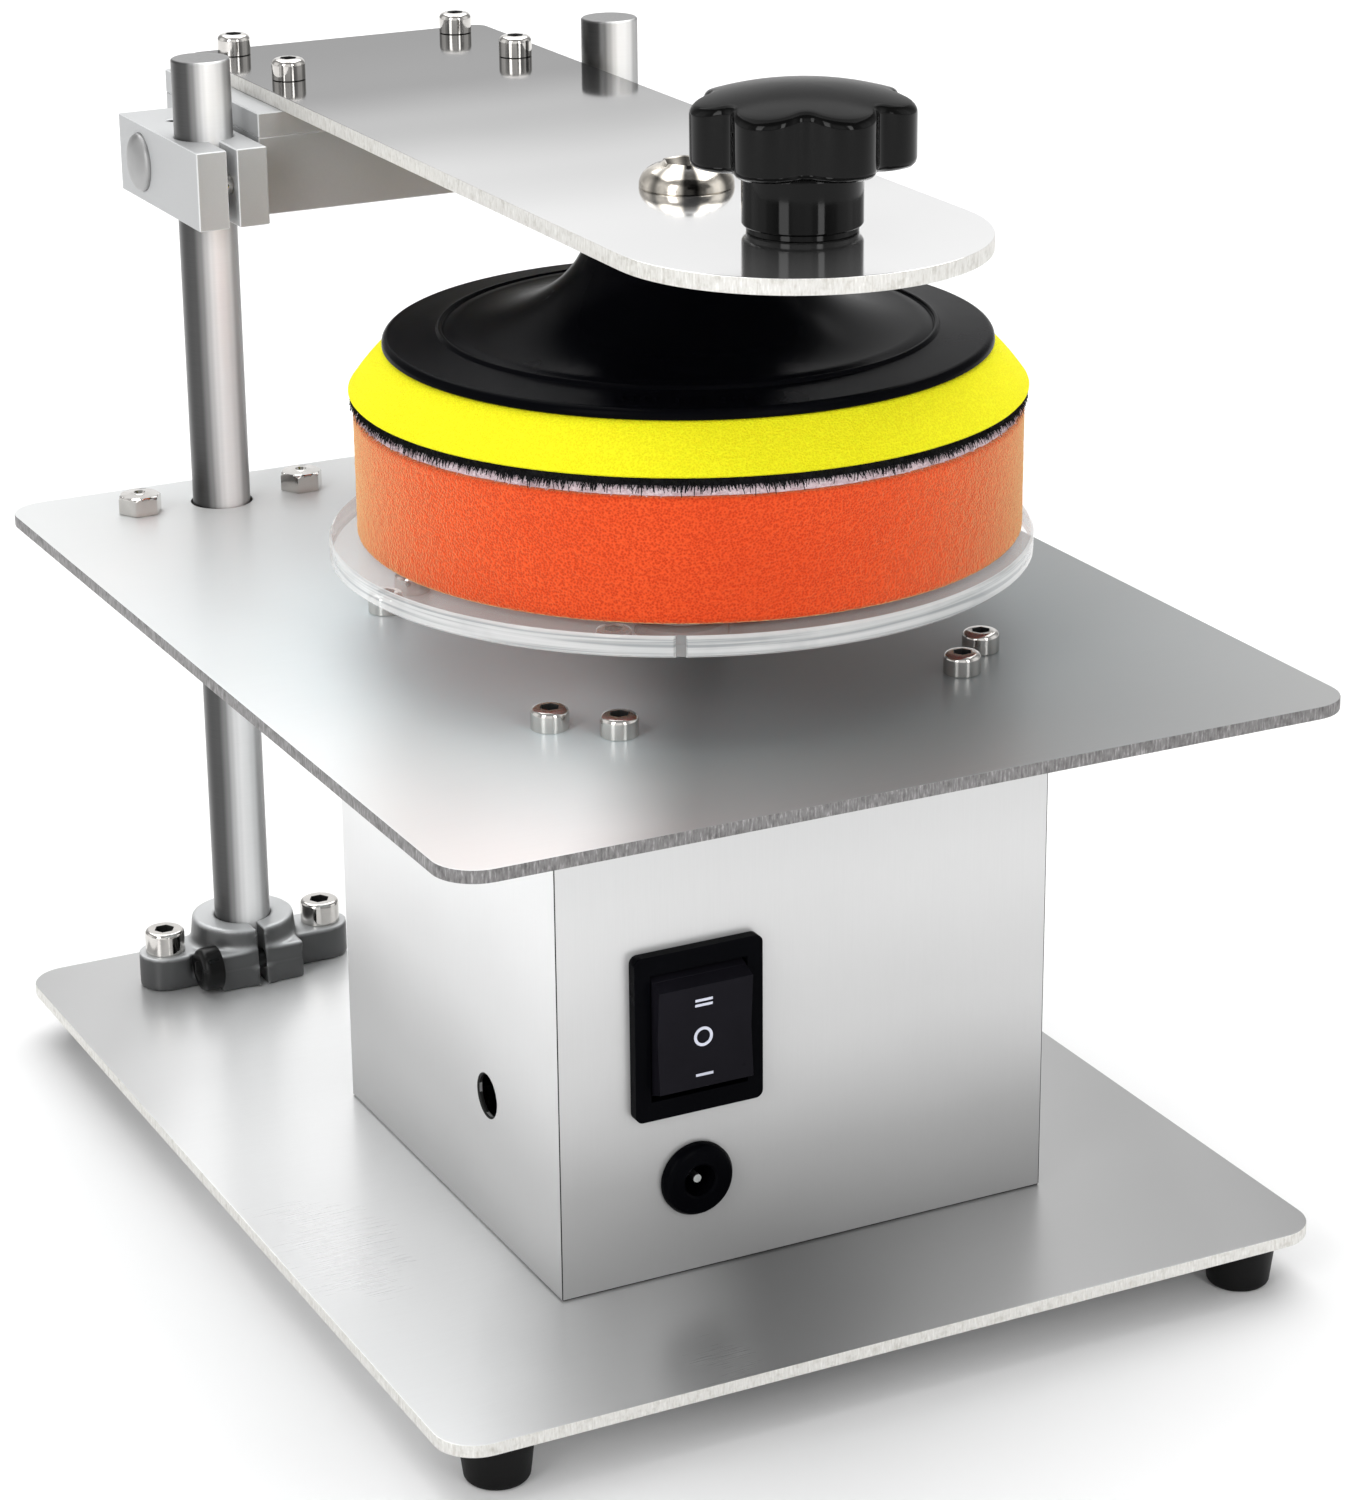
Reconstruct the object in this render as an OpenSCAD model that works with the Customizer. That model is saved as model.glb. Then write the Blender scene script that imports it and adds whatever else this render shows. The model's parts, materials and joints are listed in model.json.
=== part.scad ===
// Bench polishing machine with a motor-driven lap and a hinged pad arm.
// Origin: centre of the base plate, on the surface that the feet stand on.
// X runs to the right, Y to the back, Z up. The switch faces -Y.

/* [Plates] */
// Width of the base plate
base_w = 180; // [170:1:200]
// Depth of the base plate
base_d = 230; // [225:1:250]
// Width of the deck plate over the motor box
deck_w = 178; // [165:1:200]
// Depth of the deck plate
deck_d = 231; // [225:1:250]
// Thickness of the base and the deck
plate_t = 2.5; // [2:0.1:3]
// Corner radius of the base and the deck
corner_r = 8; // [3:1:14]

/* [Motor box] */
// Outside width of the box
box_w = 102; // [98:1:110]
// Outside depth of the box
box_d = 100; // [96:1:104]
// Height of the box between base and deck
box_h = 104.2; // [100:0.1:112]
// Sheet thickness of the box
sheet_t = 1.2; // [1:0.1:1.5]

/* [Feet] */
// Height of a rubber foot
foot_h = 10; // [7:0.5:14]
// Diameter of a rubber foot at the base plate
foot_d = 14; // [12:0.5:18]

/* [Columns and clamps] */
// Diameter of the columns and of the hinge shaft
rod_d = 12; // [10:1:12]
// Length of a column
column_h = 200; // [196:1:215]
// Distance between the two column axes
column_pitch = 92; // [92:1:96]
// Thickness of a clamp block, left to right
clamp_w = 15; // [14.6:0.1:15]
// Height of the clamp blocks and of the hinge block
clamp_h = 16; // [15.5:0.1:16.5]

/* [Arm] */
// Width of the arm plate
arm_w = 69; // [60:1:69]
// Thickness of the arm plate
arm_t = 3; // [2.5:0.1:4]
// Diameter of the star knob
knob_d = 40; // [34:1:44]

/* [Lap and pad] */
// Diameter of the driven disc
disc_d = 132; // [120:1:140]
// Thickness of the driven disc
disc_t = 4; // [3:0.1:5]
// Diameter of the sponge
sponge_d = 125; // [110:1:126]
// Height of the sponge
sponge_h = 23.1; // [18:0.1:23.1]

/* [Hidden] */
$fn = 64;

// Radial clearance of a running fit
running = 0.05;
// Radial clearance of a screw hole
loose = 0.2;
// Overshoot of a cut past the face it opens
over = 1;

// Heights, from the floor up
base_z = foot_h;
base_top = base_z + plate_t;
deck_z = base_top + box_h;
deck_top = deck_z + plate_t;
disc_z = deck_top + 17;
disc_top = disc_z + disc_t;
sponge_z = disc_top + 0.7;
loop_z = sponge_z + sponge_h;
loop_t = 2;
hook_z = loop_z + loop_t;
hook_t = 1.5;
foam_z = hook_z + hook_t;
foam_t = 8.5;
pad_z = foam_z + foam_t;
neck_top = 199;
clamp_z = 180.5;
hinge_z = clamp_z + clamp_h / 2;
riser_z = clamp_z + clamp_h;
riser_t = 5;
arm_z = riser_z + riser_t;
arm_top = arm_z + arm_t;

// Plan positions
box_x = 0.8;
box_y = -25;
deck_x = 1;
deck_y = -2;
lap_x = 1;
lap_y = -24.5;
pad_x = 2.5;
pad_y = -25;
rod_r = rod_d / 2;
column_x = column_pitch / 2;
column_y = 96.6;
hinge_y = column_y + 18;
arm_x = 2.8;
arm_back = 143.5;
knob_x = 4;
knob_y = -66.5;

// Box details
box_left = box_x - box_w / 2;
box_right = box_x + box_w / 2;
box_front = box_y - box_d / 2;
box_back = box_y + box_d / 2;
flange_w = 12;
side_screw_x = 44.3;
side_screw_y = 37;
face_screw_x = 35;
face_screw_y = 46;
box_screws = concat(
    [for (sx = [-1, 1], sy = [-1, 1]) [sx * side_screw_x, box_y + sy * side_screw_y]],
    [for (sx = [-1, 1], sy = [-1, 1]) [sx * face_screw_x, box_y + sy * face_screw_y]]);
box_rivet_r = 2.7;
box_rivet_l = 5;
side_hole_r = 4.15;
side_hole_y = -43.2;
side_hole_z = 40.8;

// Screw sizes
m4_r = 2;
m5_r = 2.5;
m4_head_r = 3.5;
m4_head_h = 4;
m5_head_r = 4.25;
m5_head_h = 5;
m5_across = 8;
m5_nut_h = 4;

// Feet
foot_x = 77.5;
foot_y = 105.5;
foot_taper = 1;
foot_cavity_h = 4;
foot_thread = 1.8;

// Flange supports of the columns
flange_h = 13;
flange_ear_h = 7.5;
flange_ear_x = 18;
flange_ear_r = 5.7;
flange_collar_r = 11.7;
flange_lug_w = 19;
flange_lug_front = 11.6;
flange_lug_h = 8.5;
flange_slit = 1.6;
flange_pinch_y = 9.4;
flange_pinch_z = 5.4;
pinch_head_r = 4.7;
pinch_head_l = 4.5;

// Clamp blocks and hinge
clamp_front = 15.8;
clamp_back = 30.7;
clamp_slit = 2.2;
clamp_screw_y = -11;
hinge_block_w = 74;
hinge_block_front = 89;
hinge_washer_t = 1.2;
hinge_washer_r = 7.8;
shaft_out = 2;
grub_r = 1.5;
grub_l = 2;
arm_screw_x = 25.8;
arm_screw_y = [105.5, 137];

// Pad pivot
pivot_r = 4;
dome_r = 8.8;
dome_h = 5;
neck_r = 18;
flare_r = 44;
flare_z = pad_z + 3.5;
insert_r = 10;
insert_z = 185;
pocket_r = 12;
lock_nut_z = 178.5;
lock_nut_h = 5;
washer_r = 12;

// Motor and its spindle
motor_r = 21.25;
motor_wall = 2.5;
motor_h = 62;
motor_cap_h = 8;
motor_boss_r = 8.7;
motor_boss_h = 4.6;
motor_screw_r = 14.5;
armature_r = 16.5;
armature_h = 40;
spindle_r = 2.5;
hub_flange_r = 20;
hub_flange_t = 4;
hub_barrel_r = 8;
hub_z = deck_top + motor_boss_h - plate_t + 1.2;
lap_screw_r = 14;

// Switch
switch_x = -22.8;
switch_z = 62.2;
bezel_w = 26;
bezel_h = 32.4;
bezel_t = 2.2;
bezel_r = 1.5;
cutout_w = 22;
cutout_h = 27.5;
rocker_w = 19;
rocker_r = 12.1;
rocker_gap = 0.35;
rocker_pivot_y = box_front + 2.5;
rocker_pin_r = 1.5;
switch_depth = 20;
tab_t = 0.8;
tab_w = 4.8;
tab_l = 7;

// Power socket
jack_x = -22.8;
jack_z = 31.7;
jack_flange_r = 7.2;
jack_flange_t = 2.4;
jack_body_r = 5.5;
jack_body_l = 13;
jack_hole_r = 3;
jack_hole_l = 9.5;
jack_pin_r = 0.8;
jack_nut_t = 2.2;

// ---- shared shapes -------------------------------------------------------

module rounded_sheet(w, d, r) {
    square([w - 2 * r, d], center = true);
    square([w, d - 2 * r], center = true);
    for (sx = [-1, 1], sy = [-1, 1])
        translate([sx * (w / 2 - r), sy * (d / 2 - r)]) circle(r);
}

module hex_prism(across, h) {
    cylinder(r = across / sqrt(3), h = h, $fn = 6);
}

// Ring with a bore, standing on z = 0
module ring(outer, inner, h) {
    difference() {
        cylinder(r = outer, h = h);
        translate([0, 0, -over]) cylinder(r = inner, h = h + 2 * over);
    }
}

// Socket-head screw: the head stands on z = 0 and the shank hangs below it
module socket_screw(shank_r, shank_l, head_r, head_h) {
    chamfer = head_h * 0.12;
    difference() {
        union() {
            translate([0, 0, -shank_l]) cylinder(r = shank_r, h = shank_l);
            cylinder(r = head_r, h = head_h - chamfer);
            translate([0, 0, head_h - chamfer])
                cylinder(r1 = head_r, r2 = head_r - chamfer, h = chamfer);
        }
        translate([0, 0, head_h * 0.45]) hex_prism(head_r * 0.86, head_h);
    }
}

// Hexagon nut with a round bore, standing on z = 0
module hex_nut(across, bore_r, h) {
    intersection() {
        difference() {
            hex_prism(across, h);
            translate([0, 0, -over]) cylinder(r = bore_r, h = h + 2 * over);
        }
        union() {
            cylinder(r = across / sqrt(3), h = h * 0.8);
            translate([0, 0, h * 0.8])
                cylinder(r1 = across / sqrt(3), r2 = across / 2 - 0.1, h = h * 0.2);
        }
    }
}

module at_box_screws(z) {
    for (p = box_screws) translate([p[0], p[1], z]) children();
}

module at_feet(z) {
    for (sx = [-1, 1], sy = [-1, 1]) translate([sx * foot_x, sy * foot_y, z]) children();
}

// The two ear holes of a flange support, at side -1 or 1
module at_ears(side, z) {
    for (ear = [-1, 1])
        translate([side * column_x + ear * flange_ear_x, column_y, z]) children();
}

module at_all_ears(z) {
    for (side = [-1, 1]) at_ears(side, z) children();
}

// ---- plates and feet -----------------------------------------------------

module base_plate() {
    color("gainsboro") difference() {
        translate([0, 0, base_z]) linear_extrude(plate_t) rounded_sheet(base_w, base_d, corner_r);
        at_box_screws(base_z - over) cylinder(r = m4_r + loose, h = plate_t + 2 * over);
        at_all_ears(base_z - over) cylinder(r = m5_r + loose, h = plate_t + 2 * over);
        at_feet(base_z - over) cylinder(r = m4_r, h = foot_thread + over);
    }
}

module rubber_feet() {
    color("black") at_feet(0) difference() {
        cylinder(r1 = foot_d / 2 - foot_taper, r2 = foot_d / 2, h = foot_h);
        translate([0, 0, -over]) cylinder(r = m4_head_r + loose, h = foot_cavity_h + over);
        translate([0, 0, -over]) cylinder(r = m4_r, h = foot_h + 2 * over);
    }
}

module foot_screws() {
    color("silver") at_feet(foot_cavity_h) mirror([0, 0, 1])
        socket_screw(m4_r, foot_h - foot_cavity_h + foot_thread, m4_head_r, 2.5);
}

module deck_plate() {
    color("gainsboro") difference() {
        translate([deck_x, deck_y, deck_z])
            linear_extrude(plate_t) rounded_sheet(deck_w, deck_d, corner_r);
        at_box_screws(deck_z - over) cylinder(r = m4_r + loose, h = plate_t + 2 * over);
        at_all_ears(deck_z - over) cylinder(r = m5_r + loose, h = plate_t + 2 * over);
        for (side = [-1, 1])
            translate([side * column_x, column_y, deck_z - over])
                cylinder(r = rod_r + 0.4, h = plate_t + 2 * over);
        translate([lap_x, lap_y, deck_z - over])
            cylinder(r = motor_boss_r + 0.4, h = plate_t + 2 * over);
        at_motor_screws(deck_z - over) cylinder(r = m4_r + loose, h = plate_t + 2 * over);
    }
}

module deck_screws() {
    color("silver") at_box_screws(deck_top)
        socket_screw(m4_r, plate_t + sheet_t + box_rivet_l, m4_head_r, m4_head_h);
}

module base_screws() {
    color("silver") at_box_screws(base_z) mirror([0, 0, 1])
        socket_screw(m4_r, plate_t + sheet_t + box_rivet_l, m4_head_r, m4_head_h * 0.7);
}

// ---- motor box -----------------------------------------------------------

// Folded rims at the top and bottom of a wall; xy is the rim's low corner, size its plan
module box_rims(xy, size) {
    for (z = [base_top, deck_z - sheet_t])
        translate([xy[0], xy[1], z]) cube([size[0], size[1], sheet_t]);
}

module box_rim_holes() {
    at_box_screws(base_top - over) cylinder(r = m4_r + loose, h = sheet_t + 2 * over);
    at_box_screws(deck_z - sheet_t - over) cylinder(r = m4_r + loose, h = sheet_t + 2 * over);
}

// Front and both sides, folded from one sheet
module box_wrap() {
    rim_side_y = box_y - side_screw_y - 3.5;
    rim_side_l = 2 * side_screw_y + 7;
    color("whitesmoke") difference() {
        union() {
            translate([box_left, box_front, base_top]) cube([box_w, sheet_t, box_h]);
            for (x = [box_left, box_right - sheet_t])
                translate([x, box_front, base_top]) cube([sheet_t, box_d, box_h]);
            box_rims([-face_screw_x - 5, box_front], [2 * face_screw_x + 10, flange_w - 3]);
            box_rims([box_left, rim_side_y], [flange_w, rim_side_l]);
            box_rims([box_right - flange_w - 2, rim_side_y], [flange_w + 2, rim_side_l]);
        }
        box_rim_holes();
        translate([switch_x - cutout_w / 2, box_front - over, switch_z - cutout_h / 2])
            cube([cutout_w, sheet_t + 2 * over, cutout_h]);
        translate([jack_x, box_front - over, jack_z]) rotate([-90, 0, 0])
            cylinder(r = jack_body_r, h = sheet_t + 2 * over);
        translate([box_left - over, side_hole_y, side_hole_z]) rotate([0, 90, 0])
            cylinder(r = side_hole_r, h = sheet_t + 2 * over);
    }
}

module box_back_panel() {
    inner_w = box_w - 2 * sheet_t;
    color("whitesmoke") difference() {
        union() {
            translate([box_left + sheet_t, box_back - sheet_t, base_top])
                cube([inner_w, sheet_t, box_h]);
            box_rims([-face_screw_x - 5, box_back - flange_w + 3],
                [2 * face_screw_x + 10, flange_w - 3]);
        }
        box_rim_holes();
    }
}

module box_rivet_nuts() {
    color("silver") {
        at_box_screws(base_top + sheet_t) ring(box_rivet_r, m4_r, box_rivet_l);
        at_box_screws(deck_z - sheet_t - box_rivet_l) ring(box_rivet_r, m4_r, box_rivet_l);
    }
}

// ---- columns and their flange supports -----------------------------------

// Flange support standing on z = 0 with its pinch lug towards -Y
module flange_support() {
    difference() {
        union() {
            linear_extrude(flange_ear_h) {
                square([2 * flange_ear_x, 2 * flange_ear_r], center = true);
                circle(flange_collar_r);
                for (ear = [-1, 1]) translate([ear * flange_ear_x, 0]) circle(flange_ear_r);
            }
            cylinder(r1 = flange_collar_r + 0.6, r2 = flange_collar_r - 0.8, h = flange_h);
            translate([-flange_lug_w / 2, -flange_lug_front, 0])
                cube([flange_lug_w, flange_lug_front, flange_lug_h]);
        }
        translate([0, 0, -over]) cylinder(r = rod_r, h = flange_h + 2 * over);
        translate([-flange_slit / 2, -flange_lug_front - 2 * over, -over])
            cube([flange_slit, flange_lug_front + 2 * over, flange_h + 2 * over]);
        for (ear = [-1, 1])
            translate([ear * flange_ear_x, 0, -over]) cylinder(r = m5_r, h = flange_h);
        translate([-flange_lug_w, -flange_pinch_y, flange_pinch_z]) rotate([0, 90, 0])
            cylinder(r = m4_r, h = 2 * flange_lug_w);
        translate([-flange_lug_w / 2, -flange_pinch_y, flange_pinch_z]) rotate([0, -90, 0])
            cylinder(r = pinch_head_r + loose, h = pinch_head_l + loose);
    }
}

module base_flange(side) {
    color("lightgray") translate([side * column_x, column_y, base_top]) flange_support();
}

module deck_flange(side) {
    color("lightgray") translate([side * column_x, column_y, deck_z])
        mirror([0, 0, 1]) flange_support();
}

module base_flange_left() base_flange(-1);
module base_flange_right() base_flange(1);
module deck_flange_left() deck_flange(-1);
module deck_flange_right() deck_flange(1);

module base_flange_screws() {
    color("silver") at_all_ears(base_top + flange_ear_h)
        socket_screw(m5_r, flange_ear_h + plate_t + m5_nut_h + 1, m5_head_r, m5_head_h);
}

module base_flange_nuts() {
    color("silver") at_all_ears(base_z - m5_nut_h) hex_nut(m5_across, m5_r, m5_nut_h);
}

module deck_flange_bolts() {
    shank_l = plate_t + flange_ear_h + m5_nut_h + 1;
    color("silver") at_all_ears(deck_top) {
        translate([0, 0, -shank_l]) cylinder(r = m5_r, h = shank_l);
        hex_nut(m5_across, 1, m5_nut_h);
        cylinder(r = 1.5, h = m5_nut_h + 0.3);
    }
}

module deck_flange_nuts() {
    color("silver") at_all_ears(deck_z - flange_ear_h - m5_nut_h)
        hex_nut(m5_across, m5_r, m5_nut_h);
}

// Black-capped screws that pinch the supports onto the columns, heads on the left of each
module flange_pinch_screws() {
    heights = [base_top + flange_pinch_z, deck_z - flange_pinch_z];
    color("black") for (side = [-1, 1], z = heights)
        translate([side * column_x - flange_lug_w / 2, column_y - flange_pinch_y, z])
            rotate([0, -90, 0])
                socket_screw(m4_r, flange_lug_w - 1, pinch_head_r, pinch_head_l);
}

module column(side) {
    chamfer = 0.6;
    color("silver") translate([side * column_x, column_y, base_top]) {
        cylinder(r = rod_r, h = column_h - chamfer);
        translate([0, 0, column_h - chamfer])
            cylinder(r1 = rod_r, r2 = rod_r - chamfer, h = chamfer);
    }
}

module column_left() column(-1);
module column_right() column(1);

// ---- motor and lap -------------------------------------------------------

module at_motor_screws(z) {
    for (side = [-1, 1]) translate([lap_x + side * motor_screw_r, lap_y, z]) children();
}

module motor_case() {
    color("dimgray") difference() {
        translate([lap_x, lap_y, deck_z - motor_h]) {
            cylinder(r = motor_r, h = motor_h);
            cylinder(r = motor_boss_r, h = motor_h + motor_boss_h);
        }
        translate([lap_x, lap_y, deck_z - motor_h - over])
            cylinder(r = motor_r - motor_wall, h = motor_h - 6 + over);
        translate([lap_x, lap_y, deck_z - motor_h])
            cylinder(r = spindle_r + running, h = motor_h + 10);
        at_motor_screws(deck_z - 6 - over) cylinder(r = m4_r, h = 6 + 2 * over);
    }
}

module motor_end_cap() {
    color("black") translate([lap_x, lap_y, deck_z - motor_h - motor_cap_h]) difference() {
        cylinder(r = motor_r - 0.5, h = motor_cap_h);
        translate([0, 0, motor_cap_h - 5]) cylinder(r = spindle_r + running, h = 5 + over);
        for (side = [-1, 1])
            translate([side * 12 - tab_w / 2, -tab_t / 2, -over]) cube([tab_w, tab_t, 5]);
    }
}

module motor_terminals() {
    cap_z = deck_z - motor_h - motor_cap_h;
    color("gold") for (side = [-1, 1])
        translate([lap_x + side * 12 - tab_w / 2, lap_y - tab_t / 2, cap_z - tab_l + 4])
            cube([tab_w, tab_t, tab_l]);
}

// Countersunk-height screws through the deck into the motor face, under the disc
module motor_screws() {
    color("silver") at_motor_screws(deck_top)
        socket_screw(m4_r, plate_t + 5.5, m4_head_r, 2.4);
}

module spindle() {
    bottom = deck_z - motor_h - 4.5;
    color("silver") translate([lap_x, lap_y, bottom])
        cylinder(r = spindle_r, h = disc_z - 1 - bottom);
}

module armature() {
    color("sienna") translate([lap_x, lap_y, deck_z - motor_h + 6])
        ring(armature_r, spindle_r, armature_h);
}

module at_lap_screws(z) {
    for (turn = [45 : 90 : 315])
        translate([lap_x, lap_y, z]) rotate(turn) translate([lap_screw_r, 0, 0]) children();
}

module lap_hub() {
    color("silver") difference() {
        translate([lap_x, lap_y, 0]) {
            translate([0, 0, hub_z]) cylinder(r = hub_barrel_r, h = disc_z - hub_z);
            translate([0, 0, disc_z - hub_flange_t]) cylinder(r = hub_flange_r, h = hub_flange_t);
        }
        translate([lap_x, lap_y, hub_z - over])
            cylinder(r = spindle_r, h = disc_z - 1 - hub_z + over);
        at_lap_screws(disc_z - hub_flange_t - over) cylinder(r = m4_r, h = hub_flange_t + 2 * over);
    }
}

module lap_disc() {
    color([0.85, 0.9, 0.92, 0.5]) difference() {
        translate([lap_x, lap_y, disc_z]) cylinder(r = disc_d / 2, h = disc_t);
        at_lap_screws(disc_z - over) cylinder(r = m4_r, h = disc_t + 2 * over);
        at_lap_screws(disc_top - m4_r) cylinder(r1 = m4_r, r2 = 2 * m4_r, h = m4_r);
    }
}

module lap_screws() {
    color("silver") at_lap_screws(disc_top - m4_r) difference() {
        union() {
            translate([0, 0, -hub_flange_t]) cylinder(r = m4_r, h = hub_flange_t);
            cylinder(r1 = m4_r, r2 = 2 * m4_r - 0.05, h = m4_r - 0.05);
        }
        translate([0, 0, 0.6]) hex_prism(2.5, 2);
    }
}

// ---- switch, socket and wires --------------------------------------------

module switch_case() {
    well_w = rocker_w + 2 * rocker_gap;
    well_h = 2 * (rocker_r + rocker_gap);
    color("black") translate([switch_x, box_front, switch_z]) difference() {
        union() {
            rotate([90, 0, 0]) linear_extrude(bezel_t) rounded_sheet(bezel_w, bezel_h, bezel_r);
            translate([-cutout_w / 2, 0, -cutout_h / 2]) cube([cutout_w, switch_depth, cutout_h]);
        }
        translate([-well_w / 2, -bezel_t - over, -well_h / 2])
            cube([well_w, 15 + bezel_t + over, well_h]);
        translate([-cutout_w, 2.5, 0]) rotate([0, 90, 0])
            cylinder(r = rocker_pin_r + running, h = 2 * cutout_w);
        for (x = [-6, 6], z = [-9, 0, 9])
            translate([x - tab_w / 2, 17, z - tab_t / 2]) cube([tab_w, 5, tab_t]);
    }
}

// Paddle outline in the plane across its pin: round ends about the pin, a shallow V in front
module rocker_outline() {
    tip = 24;
    intersection() {
        circle(rocker_r);
        polygon([[-4.8, -tip / 2], [-4.8, tip / 2], [6, tip / 2], [6, -tip / 2]]);
    }
    polygon([[-7.6, -10], [-6.8, 0], [-7.6, 10], [-4.6, 11.1], [-4.6, -11.1]]);
}

module switch_rocker() {
    color("black") translate([switch_x, rocker_pivot_y, switch_z]) {
        translate([-rocker_w / 2, 0, 0]) rotate([90, 0, 90])
            linear_extrude(rocker_w) rocker_outline();
        translate([-cutout_w / 2 + 0.4, 0, 0]) rotate([0, 90, 0])
            cylinder(r = rocker_pin_r, h = cutout_w - 0.8);
    }
}

module switch_terminals() {
    color("gold") for (x = [-6, 6], z = [-9, 0, 9])
        translate([switch_x + x - tab_w / 2, box_front + 17, switch_z + z - tab_t / 2])
            cube([tab_w, 3 + tab_l, tab_t]);
}

module power_socket() {
    color("black") translate([jack_x, box_front, jack_z]) rotate([-90, 0, 0]) difference() {
        union() {
            translate([0, 0, -jack_flange_t]) cylinder(r1 = jack_flange_r - 1.4,
                r2 = jack_flange_r, h = jack_flange_t / 2);
            translate([0, 0, -jack_flange_t / 2]) cylinder(r = jack_flange_r,
                h = jack_flange_t / 2);
            cylinder(r = jack_body_r, h = jack_body_l);
        }
        translate([0, 0, -jack_flange_t - over]) cylinder(r = jack_hole_r, h = jack_hole_l + over);
        translate([0, 0, -over]) cylinder(r = jack_pin_r, h = jack_body_l);
    }
}

module socket_pin() {
    color("silver") translate([jack_x, box_front - jack_flange_t + 1.5, jack_z])
        rotate([-90, 0, 0]) cylinder(r = jack_pin_r, h = jack_hole_l);
}

module socket_nut() {
    color("silver") translate([jack_x, box_front + sheet_t, jack_z]) rotate([-90, 0, 0])
        difference() {
            hex_prism(14, jack_nut_t);
            translate([0, 0, -over]) cylinder(r = jack_body_r, h = jack_nut_t + 2 * over);
        }
}

// One wire: straight eight-sided runs, each carried a radius past its bend
module wire(points, r) {
    last = len(points) - 2;
    for (i = [0 : last]) {
        d = points[i + 1] - points[i];
        lead = i == 0 ? 0 : r;
        tail = i == last ? 0 : r;
        translate(points[i]) rotate([0, acos(d[2] / norm(d)), atan2(d[1], d[0])])
            translate([0, 0, -lead]) cylinder(r = r, h = norm(d) + lead + tail, $fn = 8);
    }
}

// Two motor leads up to the switch and two supply leads down to the socket
module wiring() {
    wire_r = 0.9;
    tab_end = box_front + 20 + tab_l;
    motor_tab_z = deck_z - motor_h - motor_cap_h - tab_l + 4;
    socket_end = box_front + jack_body_l;
    low_z = 32;
    color("firebrick") for (side = [-1, 1]) {
        tab_x = switch_x + side * 6;
        motor_tab_x = lap_x + side * 12;
        lead_x = jack_x + side * 2.5;
        wire([[tab_x, tab_end, switch_z], [tab_x, tab_end + 6, switch_z],
            [tab_x, tab_end + 6, low_z], [motor_tab_x, tab_end + 6, low_z],
            [motor_tab_x, lap_y, low_z], [motor_tab_x, lap_y, motor_tab_z]], wire_r);
        wire([[tab_x, tab_end, switch_z - 9], [tab_x, tab_end + 2.5, switch_z - 9],
            [tab_x, tab_end + 2.5, jack_z], [lead_x, tab_end + 2.5, jack_z],
            [lead_x, socket_end, jack_z]], wire_r);
    }
}

// ---- clamps and hinge ----------------------------------------------------

module clamp_block(side) {
    color("lightgray") translate([side * column_x, column_y, clamp_z]) difference() {
        translate([-clamp_w / 2, -clamp_front, 0])
            cube([clamp_w, clamp_front + clamp_back, clamp_h]);
        translate([0, 0, -over]) cylinder(r = rod_r + running, h = clamp_h + 2 * over);
        translate([-clamp_slit / 2, -clamp_front - over, -over])
            cube([clamp_slit, clamp_front + over, clamp_h + 2 * over]);
        translate([-clamp_w, hinge_y - column_y, clamp_h / 2]) rotate([0, 90, 0])
            cylinder(r = rod_r, h = 2 * clamp_w);
        clamp_screw_cut(side);
        translate([0, hinge_y - column_y, clamp_h / 2]) cylinder(r = grub_r, h = clamp_h);
    }
}

// Threaded hole and head recess, the recess opening on the inner face
module clamp_screw_cut(side) {
    translate([0, clamp_screw_y, clamp_h / 2]) rotate([0, -side * 90, 0]) {
        translate([0, 0, -clamp_w / 2 + 2]) cylinder(r = m4_r, h = clamp_w);
        translate([0, 0, clamp_w / 2 - m4_head_h]) cylinder(r = m4_head_r + loose, h = clamp_w);
    }
}

module clamp_block_left() clamp_block(-1);
module clamp_block_right() clamp_block(1);

module clamp_screws() {
    color("silver") for (side = [-1, 1])
        translate([side * (column_x - clamp_w / 2 + m4_head_h), column_y + clamp_screw_y, hinge_z])
            rotate([0, -side * 90, 0])
                socket_screw(m4_r, clamp_w - m4_head_h - 2.4, m4_head_r, m4_head_h);
}

module hinge_shaft() {
    chamfer = 1.2;
    half = column_x + clamp_w / 2 + shaft_out;
    color("silver") translate([-half, hinge_y, hinge_z]) rotate([0, 90, 0]) {
        translate([0, 0, chamfer]) cylinder(r = rod_r, h = 2 * (half - chamfer));
        cylinder(r1 = rod_r - chamfer, r2 = rod_r, h = chamfer);
        translate([0, 0, 2 * half - chamfer])
            cylinder(r1 = rod_r, r2 = rod_r - chamfer, h = chamfer);
    }
}

module shaft_grub_screws() {
    color("dimgray") for (side = [-1, 1])
        translate([side * column_x, hinge_y, clamp_z + clamp_h - grub_l]) difference() {
            cylinder(r = grub_r, h = grub_l - 0.3);
            translate([0, 0, 0.7]) hex_prism(1.5, grub_l);
        }
}

module hinge_washers() {
    gap_x = column_x - clamp_w / 2;
    color("ivory") for (x = [-gap_x, gap_x - hinge_washer_t])
        translate([x, hinge_y, hinge_z]) rotate([0, 90, 0])
            ring(hinge_washer_r, rod_r, hinge_washer_t);
}

module at_arm_screws(z) {
    for (side = [-1, 1], y = arm_screw_y)
        translate([arm_x - 0.5 + side * arm_screw_x, y, z]) children();
}

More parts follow.
